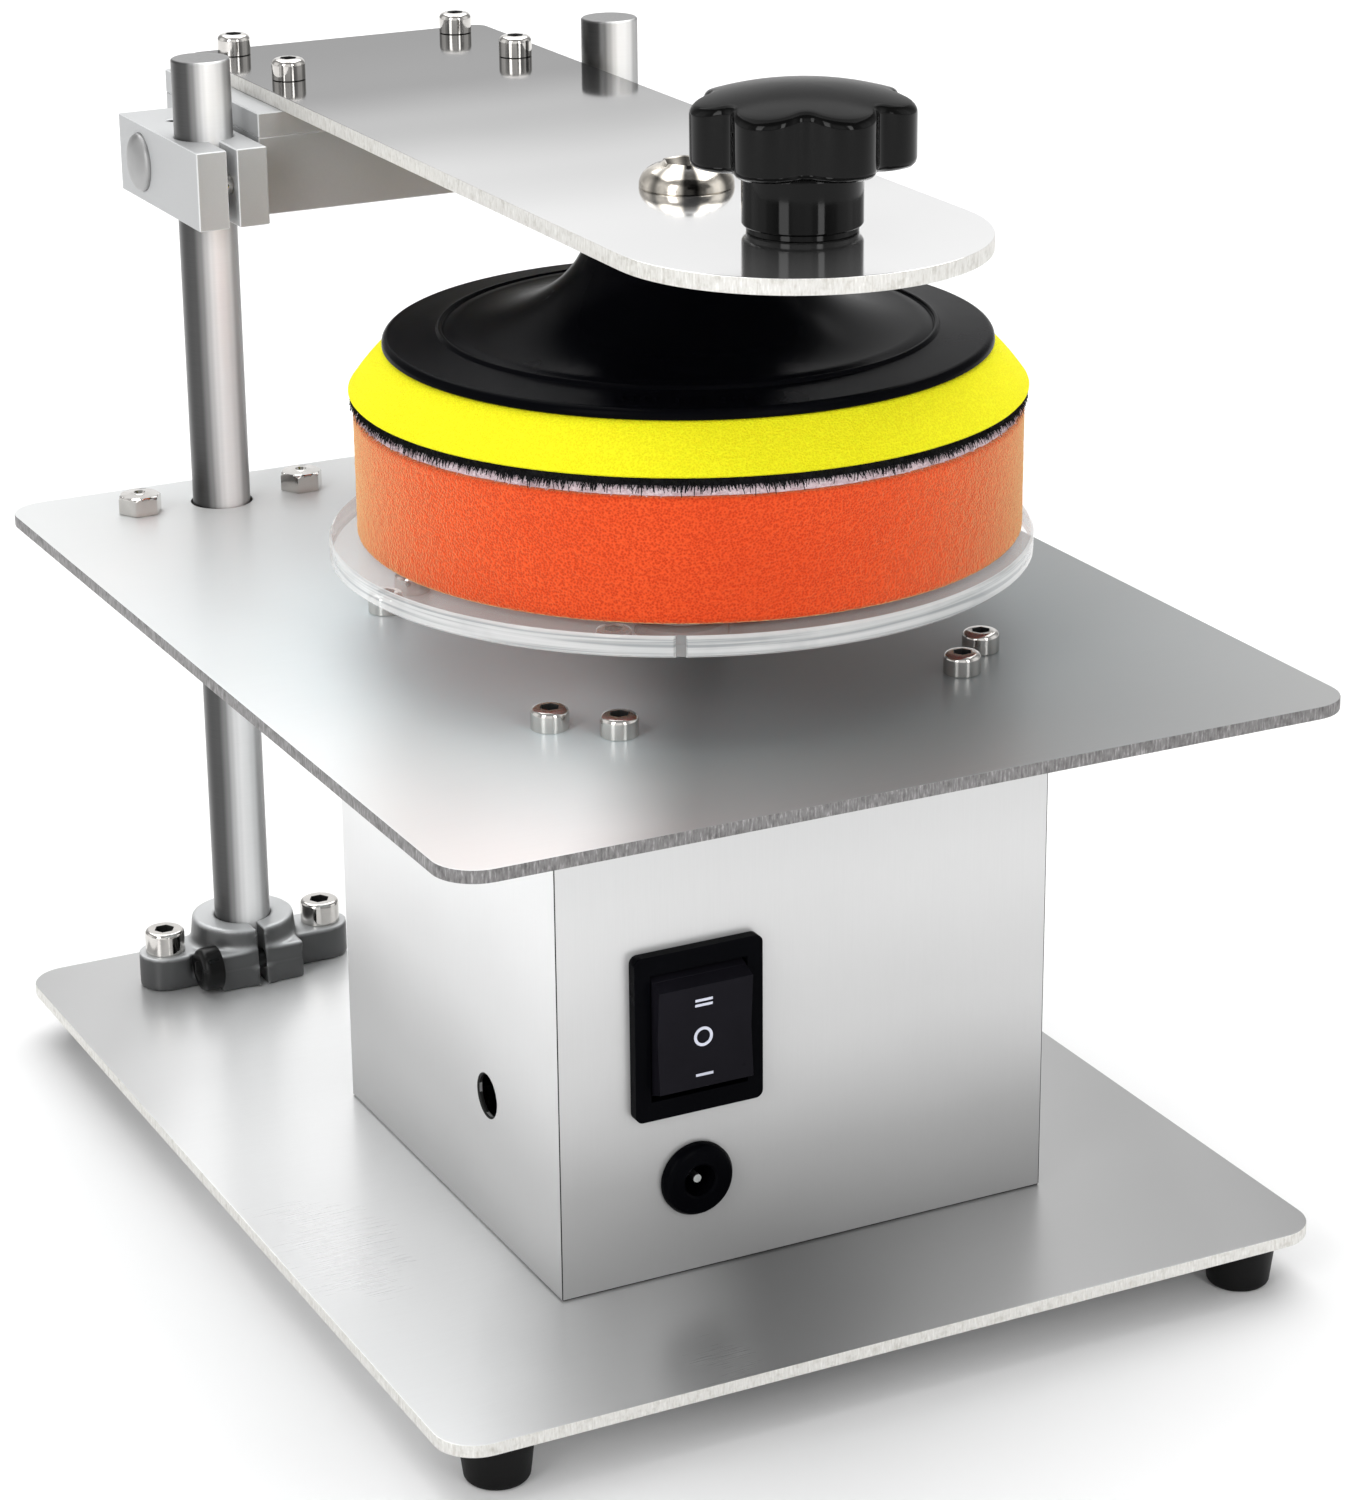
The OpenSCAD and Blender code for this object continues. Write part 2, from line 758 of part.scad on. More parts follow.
module hinge_block() {
    screw_depth = 9;
    color("lightgray") difference() {
        translate([-hinge_block_w / 2, hinge_block_front, clamp_z])
            cube([hinge_block_w, arm_back - hinge_block_front, clamp_h]);
        translate([-hinge_block_w, hinge_y, hinge_z]) rotate([0, 90, 0])
            cylinder(r = rod_r + running, h = 2 * hinge_block_w);
        at_arm_screws(riser_z - screw_depth) cylinder(r = m4_r, h = screw_depth + over);
    }
}

module arm_riser() {
    color("lightgray") difference() {
        translate([-hinge_block_w / 2, hinge_block_front, riser_z])
            cube([hinge_block_w, arm_back - hinge_block_front, riser_t]);
        at_arm_screws(riser_z - over) cylinder(r = m4_r + loose, h = riser_t + 2 * over);
    }
}

// ---- arm -----------------------------------------------------------------

module arm_outline() {
    nose_r = arm_w / 2;
    translate([arm_x, knob_y]) circle(nose_r);
    translate([arm_x - nose_r, knob_y]) square([arm_w, arm_back - knob_y - 3]);
    translate([arm_x - nose_r + 3, knob_y]) square([arm_w - 6, arm_back - knob_y]);
    for (side = [-1, 1]) translate([arm_x + side * (nose_r - 3), arm_back - 3]) circle(3);
}

module arm_plate() {
    color("gainsboro") difference() {
        translate([0, 0, arm_z]) linear_extrude(arm_t) arm_outline();
        at_arm_screws(arm_z - over) cylinder(r = m4_r + loose, h = arm_t + 2 * over);
        translate([pad_x, pad_y, arm_z - over]) cylinder(r = pivot_r, h = arm_t + 2 * over);
        translate([knob_x, knob_y, arm_z - over]) cylinder(r = pivot_r, h = arm_t + 2 * over);
    }
}

module arm_screws() {
    screw_l = arm_t + riser_t + 8;
    color("silver") at_arm_screws(arm_top)
        socket_screw(m4_r, screw_l, m4_head_r, m4_head_h + 0.4);
}

// Seven round lobes with tangent flutes between them
module knob_outline() {
    lobes = 7;
    lobe_r = knob_d * 0.16;
    lobe_c = knob_d / 2 - lobe_r;
    flute_r = knob_d * 0.075;
    half = 180 / lobes;
    reach = lobe_r + flute_r;
    flute_c = lobe_c * cos(half) + sqrt(reach * reach - pow(lobe_c * sin(half), 2));
    edge = [lobe_c + (flute_c * cos(half) - lobe_c) * lobe_r / reach,
        flute_c * sin(half) * lobe_r / reach];
    difference() {
        circle(norm(edge));
        for (i = [0 : lobes - 1]) rotate((i + 0.5) * 2 * half) translate([flute_c, 0])
            circle(flute_r);
    }
    for (i = [0 : lobes - 1]) rotate(i * 2 * half) translate([lobe_c, 0]) circle(lobe_r);
}

module star_knob() {
    hub_r = 10.7;
    hub_h = 12;
    rim_h = 10.6;
    crown_h = 3.4;
    crown_r = (knob_d * knob_d / 4 + crown_h * crown_h) / (2 * crown_h);
    color("black") translate([knob_x, knob_y, arm_top]) difference() {
        union() {
            translate([0, 0, 1.2]) cylinder(r = hub_r, h = hub_h - 1);
            cylinder(r = hub_r - 0.8, h = 2);
            intersection() {
                translate([0, 0, hub_h]) linear_extrude(rim_h + crown_h) rotate(12) knob_outline();
                translate([0, 0, hub_h + rim_h + crown_h - crown_r]) sphere(crown_r, $fn = 96);
            }
        }
        translate([0, 0, -over]) cylinder(r = pivot_r, h = 14 + over);
    }
}

module knob_stud() {
    color("silver") translate([knob_x, knob_y, arm_z - 7]) cylinder(r = pivot_r, h = 20);
}

module knob_nut() {
    color("silver") translate([knob_x, knob_y, arm_z - 5]) hex_nut(13, pivot_r, 5);
}

// ---- pad pivot -----------------------------------------------------------

// Dome-head bolt that the pad turns on
module pivot_bolt() {
    dome_sphere = (dome_r * dome_r + dome_h * dome_h) / (2 * dome_h);
    color("silver") translate([pad_x, pad_y, 0]) difference() {
        union() {
            translate([0, 0, lock_nut_z - 1]) cylinder(r = pivot_r, h = arm_top - lock_nut_z + 1);
            intersection() {
                translate([0, 0, arm_top]) cylinder(r = dome_r, h = dome_h);
                translate([0, 0, arm_top + dome_h - dome_sphere]) sphere(dome_sphere, $fn = 96);
            }
        }
        translate([0, 0, arm_top + 1.8]) hex_prism(5, dome_h);
    }
}

module thrust_washer() {
    color("silver") translate([pad_x, pad_y, neck_top + 0.3])
        ring(washer_r, pivot_r, arm_z - neck_top - 0.3);
}

module pivot_lock_nut() {
    color("silver") translate([pad_x, pad_y, lock_nut_z]) hex_nut(13, pivot_r, lock_nut_h);
}

// Moulded disc whose neck flares in a quarter ellipse up to the bearing insert
module backing_pad_outline() {
    rim_r = 56.6;
    steps = 12;
    polygon(concat(
        [[pocket_r, pad_z], [rim_r, pad_z], [rim_r, pad_z + 0.5], [rim_r - 1.6, pad_z + 2],
            [flare_r + 2.5, flare_z - 0.5], [flare_r + 2, flare_z], [flare_r, flare_z]],
        [for (i = [1 : steps - 1]) let (turn = 90 - 90 * i / steps)
            [flare_r - (flare_r - neck_r) * cos(turn), neck_top - (neck_top - flare_z) * sin(turn)]],
        [[neck_r, neck_top], [insert_r, neck_top], [insert_r, insert_z], [pocket_r, insert_z]]));
}

module backing_pad() {
    color([0.08, 0.08, 0.08]) translate([pad_x, pad_y, 0]) rotate_extrude() backing_pad_outline();
}

module pad_insert() {
    color("silver") translate([pad_x, pad_y, insert_z])
        ring(insert_r, pivot_r + running, neck_top - insert_z);
}

module pad_foam() {
    color("yellow") translate([pad_x, pad_y, foam_z])
        cylinder(r1 = sponge_d / 2 + 1, r2 = 56.8, h = foam_t);
}

module hook_layer() {
    color("black") translate([pad_x, pad_y, hook_z]) cylinder(r = sponge_d / 2 + 0.4, h = hook_t);
}

module loop_layer() {
    color("lavenderblush") translate([pad_x, pad_y, loop_z])
        cylinder(r = sponge_d / 2 + 0.1, h = loop_t);
}

module sponge() {
    color("tomato") translate([pad_x, pad_y, sponge_z]) cylinder(r = sponge_d / 2, h = sponge_h);
}

// ---- nodes ---------------------------------------------------------------

base_plate();
rubber_feet();
foot_screws();
box_wrap();
box_back_panel();
box_rivet_nuts();
base_screws();
deck_plate();
deck_screws();
base_flange_left();
base_flange_right();
deck_flange_left();
deck_flange_right();
base_flange_screws();
base_flange_nuts();
deck_flange_bolts();
deck_flange_nuts();
flange_pinch_screws();
column_left();
column_right();
motor_case();
motor_end_cap();
motor_terminals();
motor_screws();
spindle();
armature();
lap_hub();
lap_disc();
lap_screws();
switch_case();
switch_rocker();
switch_terminals();
power_socket();
socket_pin();
socket_nut();
wiring();
clamp_block_left();
clamp_block_right();
clamp_screws();
hinge_shaft();
shaft_grub_screws();
hinge_washers();
hinge_block();
arm_riser();
arm_plate();
arm_screws();
star_knob();
knob_stud();
knob_nut();
pivot_bolt();
thrust_washer();
pivot_lock_nut();
backing_pad();
pad_insert();
pad_foam();
hook_layer();
loop_layer();
sponge();
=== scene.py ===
import json
import math
import random

import bmesh
import bpy
from mathutils import Matrix, Vector, noise

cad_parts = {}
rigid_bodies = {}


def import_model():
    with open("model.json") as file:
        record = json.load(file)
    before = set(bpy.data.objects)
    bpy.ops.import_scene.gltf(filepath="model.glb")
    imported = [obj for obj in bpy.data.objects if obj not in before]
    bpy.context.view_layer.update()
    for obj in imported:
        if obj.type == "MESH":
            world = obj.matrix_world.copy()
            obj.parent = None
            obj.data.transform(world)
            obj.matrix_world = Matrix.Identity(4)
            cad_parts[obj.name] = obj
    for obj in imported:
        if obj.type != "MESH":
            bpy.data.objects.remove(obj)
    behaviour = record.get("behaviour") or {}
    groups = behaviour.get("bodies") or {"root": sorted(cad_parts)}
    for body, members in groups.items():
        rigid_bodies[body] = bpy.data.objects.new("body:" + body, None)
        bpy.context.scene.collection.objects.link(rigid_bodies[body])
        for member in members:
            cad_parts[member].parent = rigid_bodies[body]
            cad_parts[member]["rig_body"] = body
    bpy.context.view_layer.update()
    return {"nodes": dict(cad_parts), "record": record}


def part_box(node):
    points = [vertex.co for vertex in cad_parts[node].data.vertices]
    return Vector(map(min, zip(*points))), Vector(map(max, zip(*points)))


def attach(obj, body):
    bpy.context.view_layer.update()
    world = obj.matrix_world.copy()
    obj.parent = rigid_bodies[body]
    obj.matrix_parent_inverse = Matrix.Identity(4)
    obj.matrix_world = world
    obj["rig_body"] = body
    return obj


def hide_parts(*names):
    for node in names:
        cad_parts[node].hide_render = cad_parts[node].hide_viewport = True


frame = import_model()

# Bench polishing machine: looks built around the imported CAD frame. Lengths are metres.
MM = 0.001
UP = Vector((0, 0, 1))
random.seed(7)


# ---- camera, light and floor -------------------------------------------------

EYE = Vector((-0.32435, -0.6701, 0.3651))
AIM = Vector((-0.0055, -0.0307, 0.1062))
ROLL = math.radians(-0.61)
# The bands painted on the plates run across HEADING, and the stripes painted round the columns and the
# dome bolt are placed from ROD_FRONT, in degrees, so both were set with this camera in mind.
HEADING = math.atan2(AIM.x - EYE.x, AIM.y - EYE.y)
ROD_FRONT = -112


def make_camera():
    data = bpy.data.cameras.new("camera")
    data.lens = 96.6
    data.sensor_width = 36
    data.shift_x = 0.0047
    data.shift_y = -0.0277
    camera = bpy.data.objects.new("camera", data)
    bpy.context.scene.collection.objects.link(camera)
    look = (AIM - EYE).to_track_quat("-Z", "Y").to_matrix().to_4x4()
    camera.matrix_world = Matrix.Translation(EYE) @ look @ Matrix.Rotation(ROLL, 4, "Z")
    bpy.context.scene.camera = camera


class Nodes:
    """Short calls that add the few node kinds used here to one node tree."""

    def __init__(self, tree):
        self.tree = tree

    def add(self, kind, inputs=None, **settings):
        made = self.tree.nodes.new(kind)
        for key, value in settings.items():
            setattr(made, key, value)
        for key, value in (inputs or {}).items():
            self.put(made.inputs[key], value)
        return made

    def put(self, socket, value):
        if isinstance(value, bpy.types.NodeSocket):
            self.tree.links.new(value, socket)
        elif value is not None:
            socket.default_value = value

    def math(self, operation, a, b=0.0):
        return self.add("ShaderNodeMath", {0: a, 1: b}, operation=operation).outputs[0]

    def span(self, value, low, high, to_low=0.0, to_high=1.0):
        """value mapped from low..high to to_low..to_high, clamped."""
        sockets = {0: value, 1: low, 2: high, 3: to_low, 4: to_high}
        return self.add("ShaderNodeMapRange", sockets).outputs[0]

    def part(self, vector, axis):
        return self.add("ShaderNodeSeparateXYZ", {0: vector}).outputs[axis]

    def mix(self, share, a, b):
        sockets = {0: share, 6: a, 7: b}
        return self.add("ShaderNodeMix", sockets, data_type="RGBA").outputs[2]

    def ramp(self, value, *stops):
        """Colour ramp; each stop is (place, colour)."""
        made = self.add("ShaderNodeValToRGB", {0: value})
        made.color_ramp.interpolation = "EASE"
        points = made.color_ramp.elements
        while len(points) < len(stops):
            points.new(0.5)
        for point, (place, tone) in zip(points, stops):
            point.position = place
            point.color = tone if len(tone) == 4 else (*tone, 1)
        return made.outputs[0]


def grey(value):
    return (value, value, value, 1)


def degrees_ramp(n, value, low, high, *stops):
    """Grey ramp over an angle in degrees; each stop is (degrees, grey)."""
    share = n.span(value, low, high)
    return n.ramp(share, *[((at - low) / (high - low), grey(tone)) for at, tone in stops])


def make_world():
    """Grey dome with a soft graded panel every quarter turn near the horizon."""
    world = bpy.data.worlds.new("studio")
    bpy.context.scene.world = world
    world.use_nodes = True
    n = Nodes(world.node_tree)
    n.tree.nodes.clear()
    coords = n.add("ShaderNodeTexCoord").outputs["Generated"]
    turned_to = n.add("ShaderNodeVectorRotate", {"Vector": coords, "Angle": HEADING}, rotation_type="Z_AXIS")
    split = n.add("ShaderNodeSeparateXYZ", {0: turned_to.outputs[0]})
    azimuth = n.math("DEGREES", n.math("ARCTAN2", split.outputs[0], split.outputs[1]))
    quarter = n.math("SUBTRACT", n.math("FLOORED_MODULO", n.math("ADD", azimuth, 45), 90), 45)
    elevation = n.math("DEGREES", n.math("ARCSINE", split.outputs[2]))
    panel = degrees_ramp(n, quarter, -45, 45, (-45, 0.3), (-20, 0.6), (-12, 1.0), (-4, 1.0), (0, 0.92),
                         (8, 0.95), (18, 0.9), (30, 0.45), (45, 0.3))
    top = n.mix(n.span(elevation, 30, 48), panel, grey(0.3))
    sky = n.mix(n.span(elevation, -4, 2), grey(0.8), top)
    background = n.add("ShaderNodeBackground", {"Color": sky, "Strength": 1.0})
    n.add("ShaderNodeOutputWorld", {"Surface": background.outputs[0]})


def make_softbox(name, place, target, size, power):
    data = bpy.data.lights.new(name, "AREA")
    data.shape = "RECTANGLE"
    data.size, data.size_y = size
    data.energy = power
    light = bpy.data.objects.new(name, data)
    bpy.context.scene.collection.objects.link(light)
    light.location = place
    light.rotation_euler = (Vector(target) - Vector(place)).to_track_quat("-Z", "Y").to_euler()


def make_floor():
    bm = bmesh.new()
    bmesh.ops.create_grid(bm, x_segments=1, y_segments=1, size=6)
    mesh = bpy.data.meshes.new("floor")
    bm.to_mesh(mesh)
    floor = bpy.data.objects.new("floor", mesh)
    bpy.context.scene.collection.objects.link(floor)
    n = new_material("floor_paper", {"Base Color": grey(0.9), "Roughness": 0.9, "Specular IOR Level": 0.1})
    mesh.materials.append(n.material)


# ---- materials ---------------------------------------------------------------

PLATE_BRUSH = (120, 6500, 6500)
BOX_BRUSH = (6500, 6500, 120)


def extent(node):
    """Lowest corner, highest corner and centre of a CAD node's box."""
    low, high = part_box(node)
    return low, high, (low + high) / 2


def new_material(name, sockets):
    """A principled material; the returned Nodes also has .material, .shader and .coords."""
    material = bpy.data.materials.new(name)
    material.use_nodes = True
    n = Nodes(material.node_tree)
    n.material = material
    n.shader = n.tree.nodes["Principled BSDF"]
    for key, value in sockets.items():
        n.shader.inputs[key].default_value = value
    n.coords = n.add("ShaderNodeTexCoord").outputs["Object"]
    return n


def surface(n, base, roughness, normal=None):
    """The finished material with these on its shader."""
    for name, value in (("Base Color", base), ("Roughness", roughness), ("Normal", normal)):
        n.put(n.shader.inputs[name], value)
    return n.material


def stretched(n, scale):
    """Object coordinates scaled per axis, in features per metre."""
    return n.add("ShaderNodeMapping", {"Vector": n.coords, "Scale": scale}).outputs[0]


def grain(n, scale, detail=3.0, roughness=0.55, coords=None):
    sockets = {"Vector": coords or n.coords, "Scale": scale, "Detail": detail, "Roughness": roughness}
    return n.add("ShaderNodeTexNoise", sockets).outputs["Fac"]


def cells(n, scale):
    return n.add("ShaderNodeTexVoronoi", {"Vector": n.coords, "Scale": scale}).outputs["Distance"]


def bump(n, height, strength, distance):
    sockets = {"Height": height, "Strength": strength, "Distance": distance}
    return n.add("ShaderNodeBump", sockets).outputs[0]


def tinted(n, base, tint):
    sockets = {0: 1.0, 6: base, 7: (*tint, 1)}
    return n.add("ShaderNodeMix", sockets, data_type="RGBA", blend_type="MULTIPLY").outputs[2]


def across_view(n):
    """Object-space distance in metres along the line square to HEADING, which stays put in every view."""
    sockets = {"Vector": n.coords, "Angle": HEADING}
    return n.part(n.add("ShaderNodeVectorRotate", sockets, rotation_type="Z_AXIS").outputs[0], 0)


def along(n, axis):
    return n.part(n.coords, axis)


def from_centre(n, centre):
    """Distances in X and Y from a point."""
    return [n.math("SUBTRACT", along(n, axis), centre[axis]) for axis in (0, 1)]


def from_rod_front(n, x, y, sway=None):
    """Angle round an upright axis in degrees, from -180 to 180, with 0 at ROD_FRONT."""
    angle = n.math("DEGREES", n.math("ARCTAN2", y, x))
    if sway is not None:
        angle = n.math("ADD", angle, sway)
    return n.math("SUBTRACT", n.math("FLOORED_MODULO", n.math("ADD", angle, 180 - ROD_FRONT), 360), 180)


def banded(n, place, low, high, *stops):
    """Grey tone that changes softly over a distance; each stop is (metres, grey)."""
    drift = n.span(grain(n, 14, 2.0), 0.3, 0.7, -0.004, 0.004)
    share = n.span(n.math("ADD", place, drift), low, high)
    return n.ramp(share, *[((at - low) / (high - low), grey(tone)) for at, tone in stops])


# The bands and stripes stand in for reflections that the photograph shows.

def base_bands(n):
    return banded(n, across_view(n), -0.14, 0.15, (-0.14, 0.42), (-0.11, 0.5), (-0.075, 0.98), (-0.03, 1.0),
                  (0.0, 0.55), (0.025, 0.22), (0.07, 0.45), (0.11, 0.33), (0.15, 0.22))


def deck_bands(n):
    return banded(n, across_view(n), -0.14, 0.15, (-0.14, 0.68), (-0.09, 0.73), (-0.055, 0.84),
                  (-0.034, 0.68), (-0.008, 0.8), (0.016, 0.27), (0.06, 0.19), (0.15, 0.28))


def arm_bands(n):
    return banded(n, along(n, 1), -0.11, 0.15, (-0.11, 0.95), (-0.05, 0.9), (0.0, 0.66),
                  (0.05, 0.34), (0.09, 0.08), (0.15, 0.0))


def box_bands(n):
    """Painted light and shade in place of reflections: walls pale at the top and greyer below; the left wall
    is painted a little paler.
    """
    stops = [(0.01, 0.4), (0.03, 0.47), (0.06, 0.61), (0.09, 0.69), (0.12, 0.72)]
    front = banded(n, along(n, 2), 0.01, 0.12, *stops)
    left = banded(n, along(n, 2), 0.01, 0.12, *[(at, min(0.9, tone * 1.2)) for at, tone in stops])
    normal = n.add("ShaderNodeNewGeometry").outputs["Normal"]
    facing_left = n.span(n.part(normal, 0), -0.9, -0.5, 1, 0)
    return n.mix(facing_left, front, left)


def from_sponge(n):
    """0 under the sponge to 1 clear of it."""
    x, y = from_centre(n, extent("sponge")[2])
    squares = n.math("ADD", n.math("MULTIPLY", x, x), n.math("MULTIPLY", y, y))
    return n.span(n.math("SQRT", squares), 0.06, 0.12)


def brushed_steel(name, bands, lines, roughness, metallic, coat=0.1, tint=(1, 1, 1), near_sponge=None):
    """Sheet steel with fine brush lines; lines is the features per metre along each axis.

    near_sponge is a tint that cancels the orange light that the sponge throws on the sheet.
    """
    n = new_material(name, {"Metallic": metallic, "Coat Weight": coat, "Coat Roughness": 0.04})
    fine = grain(n, 1.0, 2.0, 0.6, stretched(n, lines))
    cloud = grain(n, 9.0, 4.0)
    # bands(n) is painted light and shade: soft bands laid into the base colour in place of reflections.
    base = n.mix(n.span(fine, 0.3, 0.7, 0.04, 0), bands(n), grey(0.3))
    base = tinted(n, n.mix(n.span(cloud, 0.5, 0.8, 0, 0.05), base, grey(0.3)), tint)
    if near_sponge:
        base = n.mix(from_sponge(n), tinted(n, base, near_sponge), base)
    shine = n.math("ADD", n.span(cloud, 0.3, 0.7, *roughness), n.span(fine, 0.3, 0.7, 0, 0.012))
    return surface(n, base, shine, bump(n, fine, 0.015, 0.00001))


def cut_edge(name, low, middle, high, fleck):
    """Sheared or laser-cut edge of a plate: mottled, with fine upright striations."""
    n = new_material(name, {"Metallic": 0.3})
    streaks = grain(n, 1.0, 3.0, 0.55, stretched(n, (2400, 2400, 500)))
    blotch = grain(n, 600, 3.0)
    tone = n.ramp(streaks, (0.3, low), (0.5, middle), (0.75, high))
    return surface(n, n.mix(n.span(blotch, 0.52, 0.7, 0, 0.4), tone, (*fleck, 1)),
                   n.span(blotch, 0.3, 0.7, 0.35, 0.6), bump(n, streaks, 0.15, 0.00012))


def plated(name, tone, roughness, tint=(1, 1, 1)):
    """Polished plating with faint handling marks."""
    n = new_material(name, {"Metallic": 1.0})
    smudge = grain(n, 160, 4.0)
    scratch = grain(n, 1.0, 2.0, 0.5, stretched(n, (2500, 2500, 180)))
    low = [channel * tone * 0.86 for channel in tint]
    high = [channel * tone for channel in tint]
    base = n.mix(n.span(smudge, 0.35, 0.65), (*low, 1), (*high, 1))
    return surface(n, base,
                   n.span(smudge, 0.3, 0.7, roughness, roughness * 2.2), bump(n, scratch, 0.08, 0.00003))


def ground_rod():
    """Hard-chromed rod: painted stripes in place of reflections, and very fine rings."""
    n = new_material("ground_rod", {"Metallic": 0.1, "Coat Weight": 0.12, "Coat Roughness": 0.08})
    rings = grain(n, 1.0, 2.0, 0.6, stretched(n, (60, 60, 9000)))
    sway = n.span(grain(n, 1.0, 2.0, 0.5, stretched(n, (60, 60, 12))), 0.3, 0.7, -3, 3)
    centre = extent("column_right")[2]
    side = n.math("SIGN", along(n, 0))
    x = n.math("SUBTRACT", along(n, 0), n.math("MULTIPLY", side, centre.x))
    y = n.math("SUBTRACT", along(n, 1), centre.y)
    base = degrees_ramp(n, from_rod_front(n, x, y, sway), -180, 180,
                        (-180, 0.4), (-140, 0.8), (-110, 0.4), (-85, 0.08), (-52, 0.01),
                        (-30, 0.04), (-15, 0.2), (-5, 0.5), (5, 0.8), (15, 1.0), (28, 1.0), (40, 0.85),
                        (55, 0.42), (78, 0.13), (110, 0.4), (150, 0.9), (180, 0.4))
    return surface(n, n.mix(n.span(rings, 0.3, 0.7, 0, 0.04), base, grey(0.3)),
                   n.span(rings, 0.3, 0.7, 0.3, 0.36), bump(n, rings, 0.02, 0.00001))


def rod_end():
    """Faced end of a rod, with a fine grain, painted dark: painted shade in place of the reflection on the
    end face.
    """
    n = new_material("rod_end", {"Metallic": 0.4})
    fine = grain(n, 2200, 3.0)
    base = n.mix(fine, grey(0.13), grey(0.24))
    return surface(n, base,
                   n.span(fine, 0.3, 0.7, 0.35, 0.5))


def blasted(name, tone, grain_scale=2600, roughness=(0.4, 0.52), metallic=0.2, wall=1.0):
    """Bead-blasted aluminium; wall paints shade on upright faces, making them darker."""
    n = new_material(name, {"Metallic": metallic})
    fine = grain(n, grain_scale, 3.0)
    cloud = grain(n, 60, 4.0)
    base = n.mix(n.span(cloud, 0.3, 0.7), grey(tone * 0.92), grey(tone))
    base = n.mix(n.span(fine, 0.35, 0.65, 0, 0.25), base, grey(tone * 0.85))
    if wall < 1:
        normal = n.add("ShaderNodeNewGeometry").outputs["Normal"]
        base = n.mix(n.span(n.part(normal, 2), 0.1, 0.85), grey(tone * wall), base)
    return surface(n, tinted(n, base, (0.985, 1.0, 1.01)),
                   n.span(cloud, 0.3, 0.7, *roughness), bump(n, fine, 0.25, 0.00005))


def moulded(name, tone, roughness, texture=0.15, grain_scale=1800, tint=(1, 1, 1), shine=0.5):
    """Moulded plastic or rubber with a fine spark-eroded grain."""
    n = new_material(name, {"IOR": 1.3, "Specular IOR Level": shine})
    fine = grain(n, grain_scale, 3.0)
    cloud = grain(n, 45, 4.0)
    low = [channel * tone * 0.8 for channel in tint]
    high = [channel * tone * 1.25 for channel in tint]
    base = n.mix(n.span(cloud, 0.3, 0.7), (*low, 1), (*high, 1))
    return surface(n, base,
                   n.span(cloud, 0.3, 0.7, roughness * 0.85, roughness * 1.2),
                   bump(n, fine, texture, 0.00008))


def knob_phenolic():
    """Polished black phenolic with hairline rubs."""
    n = new_material("knob_phenolic", {"IOR": 1.22})
    cloud = grain(n, 70, 4.0)
    hair = grain(n, 1.0, 2.0, 0.5, stretched(n, (1500, 300, 2500)))
    normal = n.add("ShaderNodeTexCoord").outputs["Normal"]
    crown = n.span(n.part(normal, 2), 0.3, 0.9)
    polish = n.span(cloud, 0.3, 0.7, 0.07, 0.12)
    n.put(n.shader.inputs["Specular IOR Level"], n.span(crown, 0, 1, 0.7, 0.1))
    return surface(n, n.mix(cloud, grey(0.001), grey(0.003)),
                   n.math("ADD", polish, n.math("MULTIPLY", crown, 0.1)), bump(n, hair, 0.03, 0.00005))


def bolt_head(node):
    """Turned and polished button head, with a painted fan of light and dark like turned rings show."""
    n = new_material("bolt_head", {"Metallic": 0.9})
    x, y = from_centre(n, extent(node)[2])
    fan = degrees_ramp(n, from_rod_front(n, x, y), -180, 180,
                       (-180, 0.1), (-150, 0.7), (-120, 0.12), (-92, 0.6), (-66, 0.85), (-48, 0.16),
                       (-34, 0.9), (-16, 0.7), (-7, 0.03), (7, 0.03), (16, 0.75), (36, 0.9), (52, 0.14),
                       (75, 0.7), (100, 0.2), (130, 0.75), (180, 0.1))
    fine = grain(n, 1500, 3.0)
    base = tinted(n, fan, (1.0, 0.93, 0.82))
    return surface(n, n.mix(n.span(fine, 0.4, 0.8, 0, 0.1), base, grey(0.2)),
                   n.span(fine, 0.3, 0.7, 0.14, 0.22))


def clear_acrylic():
    """Cast acrylic sheet with fine scuffs."""
    n = new_material("clear_acrylic", {"IOR": 1.49, "Alpha": 0.22})
    scuff = grain(n, 1.0, 3.0, 0.6, stretched(n, (700, 700, 200)))
    return surface(n, n.mix(scuff, (0.78, 0.82, 0.82, 1), (0.93, 0.96, 0.96, 1)),
                   n.span(scuff, 0.45, 0.8, 0.015, 0.12), bump(n, scuff, 0.02, 0.0001))


def acrylic_rim():
    """Flame-polished edge of the acrylic, painted bright: a painted highlight for the light that gathers
    there, with faint rings.
    """
    n = new_material("acrylic_rim", {"IOR": 1.49, "Alpha": 0.62, "Coat Weight": 0.5, "Coat Roughness": 0.02})
    rings = grain(n, 1.0, 2.0, 0.5, stretched(n, (18, 18, 1400)))
    spots = grain(n, 90, 3.0)
    base = n.ramp(rings, (0.35, (0.5, 0.53, 0.54)), (0.5, (0.86, 0.88, 0.88)), (0.68, (0.97, 0.98, 0.98)))
    return surface(n, n.mix(n.span(spots, 0.55, 0.75, 0, 0.35), base, (0.45, 0.48, 0.5, 1)),
                   n.span(spots, 0.4, 0.7, 0.05, 0.2), bump(n, rings, 0.1, 0.0001))


